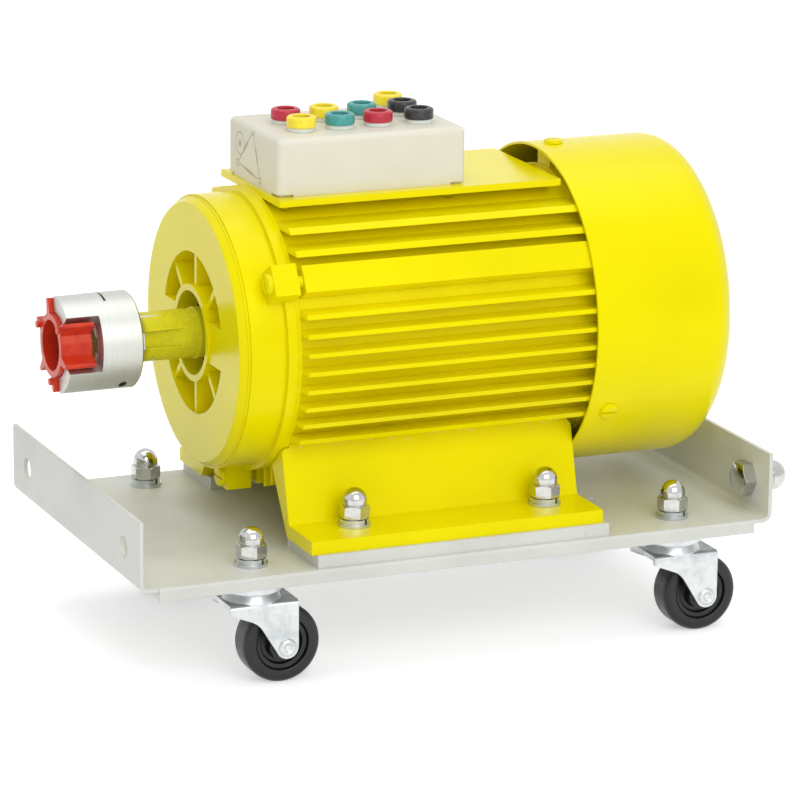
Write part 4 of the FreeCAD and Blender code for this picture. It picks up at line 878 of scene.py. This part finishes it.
def dress_motor():
    """The motor itself: enamel outside, and steel, copper and aluminium inside."""
    paint = enamel("yellow_enamel")
    dress(paint, "motor_frame", "fan_end_shield", "cowl_screws", "drive_shield_screws",
          "fan_shield_screws")
    dress(enamel("foot_enamel", chipped_seam), "foot_front", "foot_back")
    # The drive shield's enamel carries a painted reflection on its ring face
    dress(enamel("shield_enamel_painted_reflection", painted_reflection_shield_face), "drive_end_shield")
    # The cowl's enamel carries a painted reflection on its rear corner
    dress(enamel("cowl_enamel_painted_reflection", painted_reflection_rear_band), "fan_cowl")
    dress(painted_shaft(), "shaft")
    hub_metal = turned_metal("turned_hub", HUB_METAL, HUB_METAL_DULL, roughness=0.46,
                             line=0.4 * MM, depth=0.003 * MM)
    dress(hub_metal, "coupling_hub")
    ring_steel = turned_metal("ground_steel", BARE_STEEL, GROUND_STEEL_DULL, roughness=0.2,
                              line=0.3 * MM, depth=0.005 * MM)
    dress(ring_steel, "drive_bearing_outer_ring", "drive_bearing_inner_ring",
          "fan_bearing_outer_ring", "fan_bearing_inner_ring")
    dress(red_elastomer(), "coupling_spider")
    dress(laminations(), "stator_core", "rotor_core")
    dress(windings(), "stator_windings")
    aluminium = grained("cast_aluminium", CAST_ALUMINIUM, CAST_ALUMINIUM_DULL, roughness=0.45,
                        metallic=1.0)
    dress(aluminium, "rotor_end_rings")
    key_steel = grained("key_steel", BARE_STEEL, KEY_STEEL_DULL, roughness=0.35, metallic=1.0)
    dress(key_steel, "coupling_key")
    blackened = grained("blackened_steel", BLACKENED_STEEL, BLACKENED_STEEL_WORN, roughness=0.4,
                        metallic=1.0)
    dress(blackened, "hub_clamp_screw")
    dress(grained("seal_rubber", SEAL_RUBBER, SEAL_RUBBER_WORN, roughness=0.6), "shaft_seal")
    dress(grained("fan_plastic", FAN_PLASTIC, FAN_PLASTIC_WORN, roughness=0.55), "fan")
    fit_screws(paint)


def dress_stand():
    """The tray with its shims, the castors, and the plated fastenings."""
    dress(tray_paint(), "base_tray", "foot_shim_front", "foot_shim_back")
    zinc = bright_zinc()
    dress(zinc, "foot_bolts", "foot_washers", "foot_spring_washers", "castor_stems",
          "castor_raceways", "castor_washers", "castor_spring_washers", "wall_bolts",
          "bearing_wave_spring", "terminal_box_screws")
    black = wheel_plastic()
    for corner in CORNERS:
        dress(zinc, "castor_fork_" + corner, "castor_axle_" + corner)
        dress(black, "castor_wheel_" + corner)
    nickel = polished_nickel()
    dress(nickel, "foot_dome_nuts", "castor_dome_nuts", "wall_dome_nuts")
    fit_nuts(nickel)
    fit_castors(black, zinc)


def dress_box():
    """The socket box on top of the motor, with its sockets."""
    dress(box_plastic(), "terminal_box", "terminal_box_base")
    brass = grained("plated_brass", BRASS_PLATE, BRASS_PLATE_DULL, roughness=0.25, metallic=1.0)
    dress(brass, "socket_contacts", "socket_nuts")
    fit_sockets()


def set_up_camera():
    """Stands the camera where the photograph was taken from."""
    look = Vector((-math.sin(CAMERA_YAW) * math.cos(CAMERA_PITCH),
                   math.cos(CAMERA_YAW) * math.cos(CAMERA_PITCH), -math.sin(CAMERA_PITCH)))
    level = look.cross(Vector((0, 0, 1))).normalized()
    above = level.cross(look)
    right = level * math.cos(CAMERA_ROLL) + above * math.sin(CAMERA_ROLL)
    up = above * math.cos(CAMERA_ROLL) - level * math.sin(CAMERA_ROLL)
    turn = Matrix((right, up, -look)).transposed()
    lens = bpy.data.cameras.new("camera")
    lens.lens = CAMERA_LENS
    lens.sensor_width = SENSOR_WIDTH
    lens.clip_end = CAMERA_REACH
    camera = bpy.data.objects.new("camera", lens)
    camera.matrix_world = Matrix.Translation(CAMERA_PLACE) @ turn.to_4x4()
    bpy.context.scene.collection.objects.link(camera)
    bpy.context.scene.camera = camera


def lay_floor():
    """A plain white floor that keeps the motor's shadow."""
    bpy.ops.object.select_all(action="DESELECT")
    bpy.ops.mesh.primitive_plane_add(size=FLOOR_WIDTH)
    floor = bpy.context.object
    floor.name = "floor"
    paint = Finish("floor_paint", Base_Color=FLOOR_COLOUR, Roughness=0.9,
                   Specular_IOR_Level=0.0, Emission_Strength=1.0)
    paint.give("Emission Color", paint.blend(paint.seen(), BLACK, FLOOR_GLOW))
    paint.relief(paint.cloud(size=5 * MM, detail=3.0), depth=0.02 * MM)
    floor.data.materials.append(paint.material)


def hang_lamp(name, place, size, power):
    """A rectangular softbox that faces the motor."""
    box = bpy.data.lights.new(name, "AREA")
    box.shape = "RECTANGLE"
    box.size, box.size_y = size
    box.energy = power
    lamp = bpy.data.objects.new(name, box)
    lamp.location = place
    lamp.rotation_euler = (SHAFT_AXIS - Vector(place)).to_track_quat("-Z", "Y").to_euler()
    bpy.context.scene.collection.objects.link(lamp)


def light_studio():
    """A frontal softbox, one overhead, and a pale sky that the camera sees as white."""
    hang_lamp("softbox_front", **SOFTBOX_FRONT)
    hang_lamp("softbox_above", **SOFTBOX_ABOVE)
    world = bpy.data.worlds.new("studio")
    world.use_nodes = True
    bpy.context.scene.world = world
    sky = Nodes(world.node_tree)
    background = world.node_tree.nodes["Background"]
    sky.join(background.inputs["Color"], WHITE)
    sky.join(background.inputs["Strength"], SKY_STRENGTH + sky.seen() * (1 - SKY_STRENGTH))


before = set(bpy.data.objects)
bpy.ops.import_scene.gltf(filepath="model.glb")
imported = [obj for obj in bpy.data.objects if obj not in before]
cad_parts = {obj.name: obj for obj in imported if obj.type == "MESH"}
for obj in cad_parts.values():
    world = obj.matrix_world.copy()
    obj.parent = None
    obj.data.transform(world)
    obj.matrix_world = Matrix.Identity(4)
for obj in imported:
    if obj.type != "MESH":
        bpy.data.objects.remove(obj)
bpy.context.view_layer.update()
dress_motor()
dress_stand()
dress_box()
set_up_camera()
lay_floor()
light_studio()
bpy.context.scene.view_settings.view_transform = "Standard"
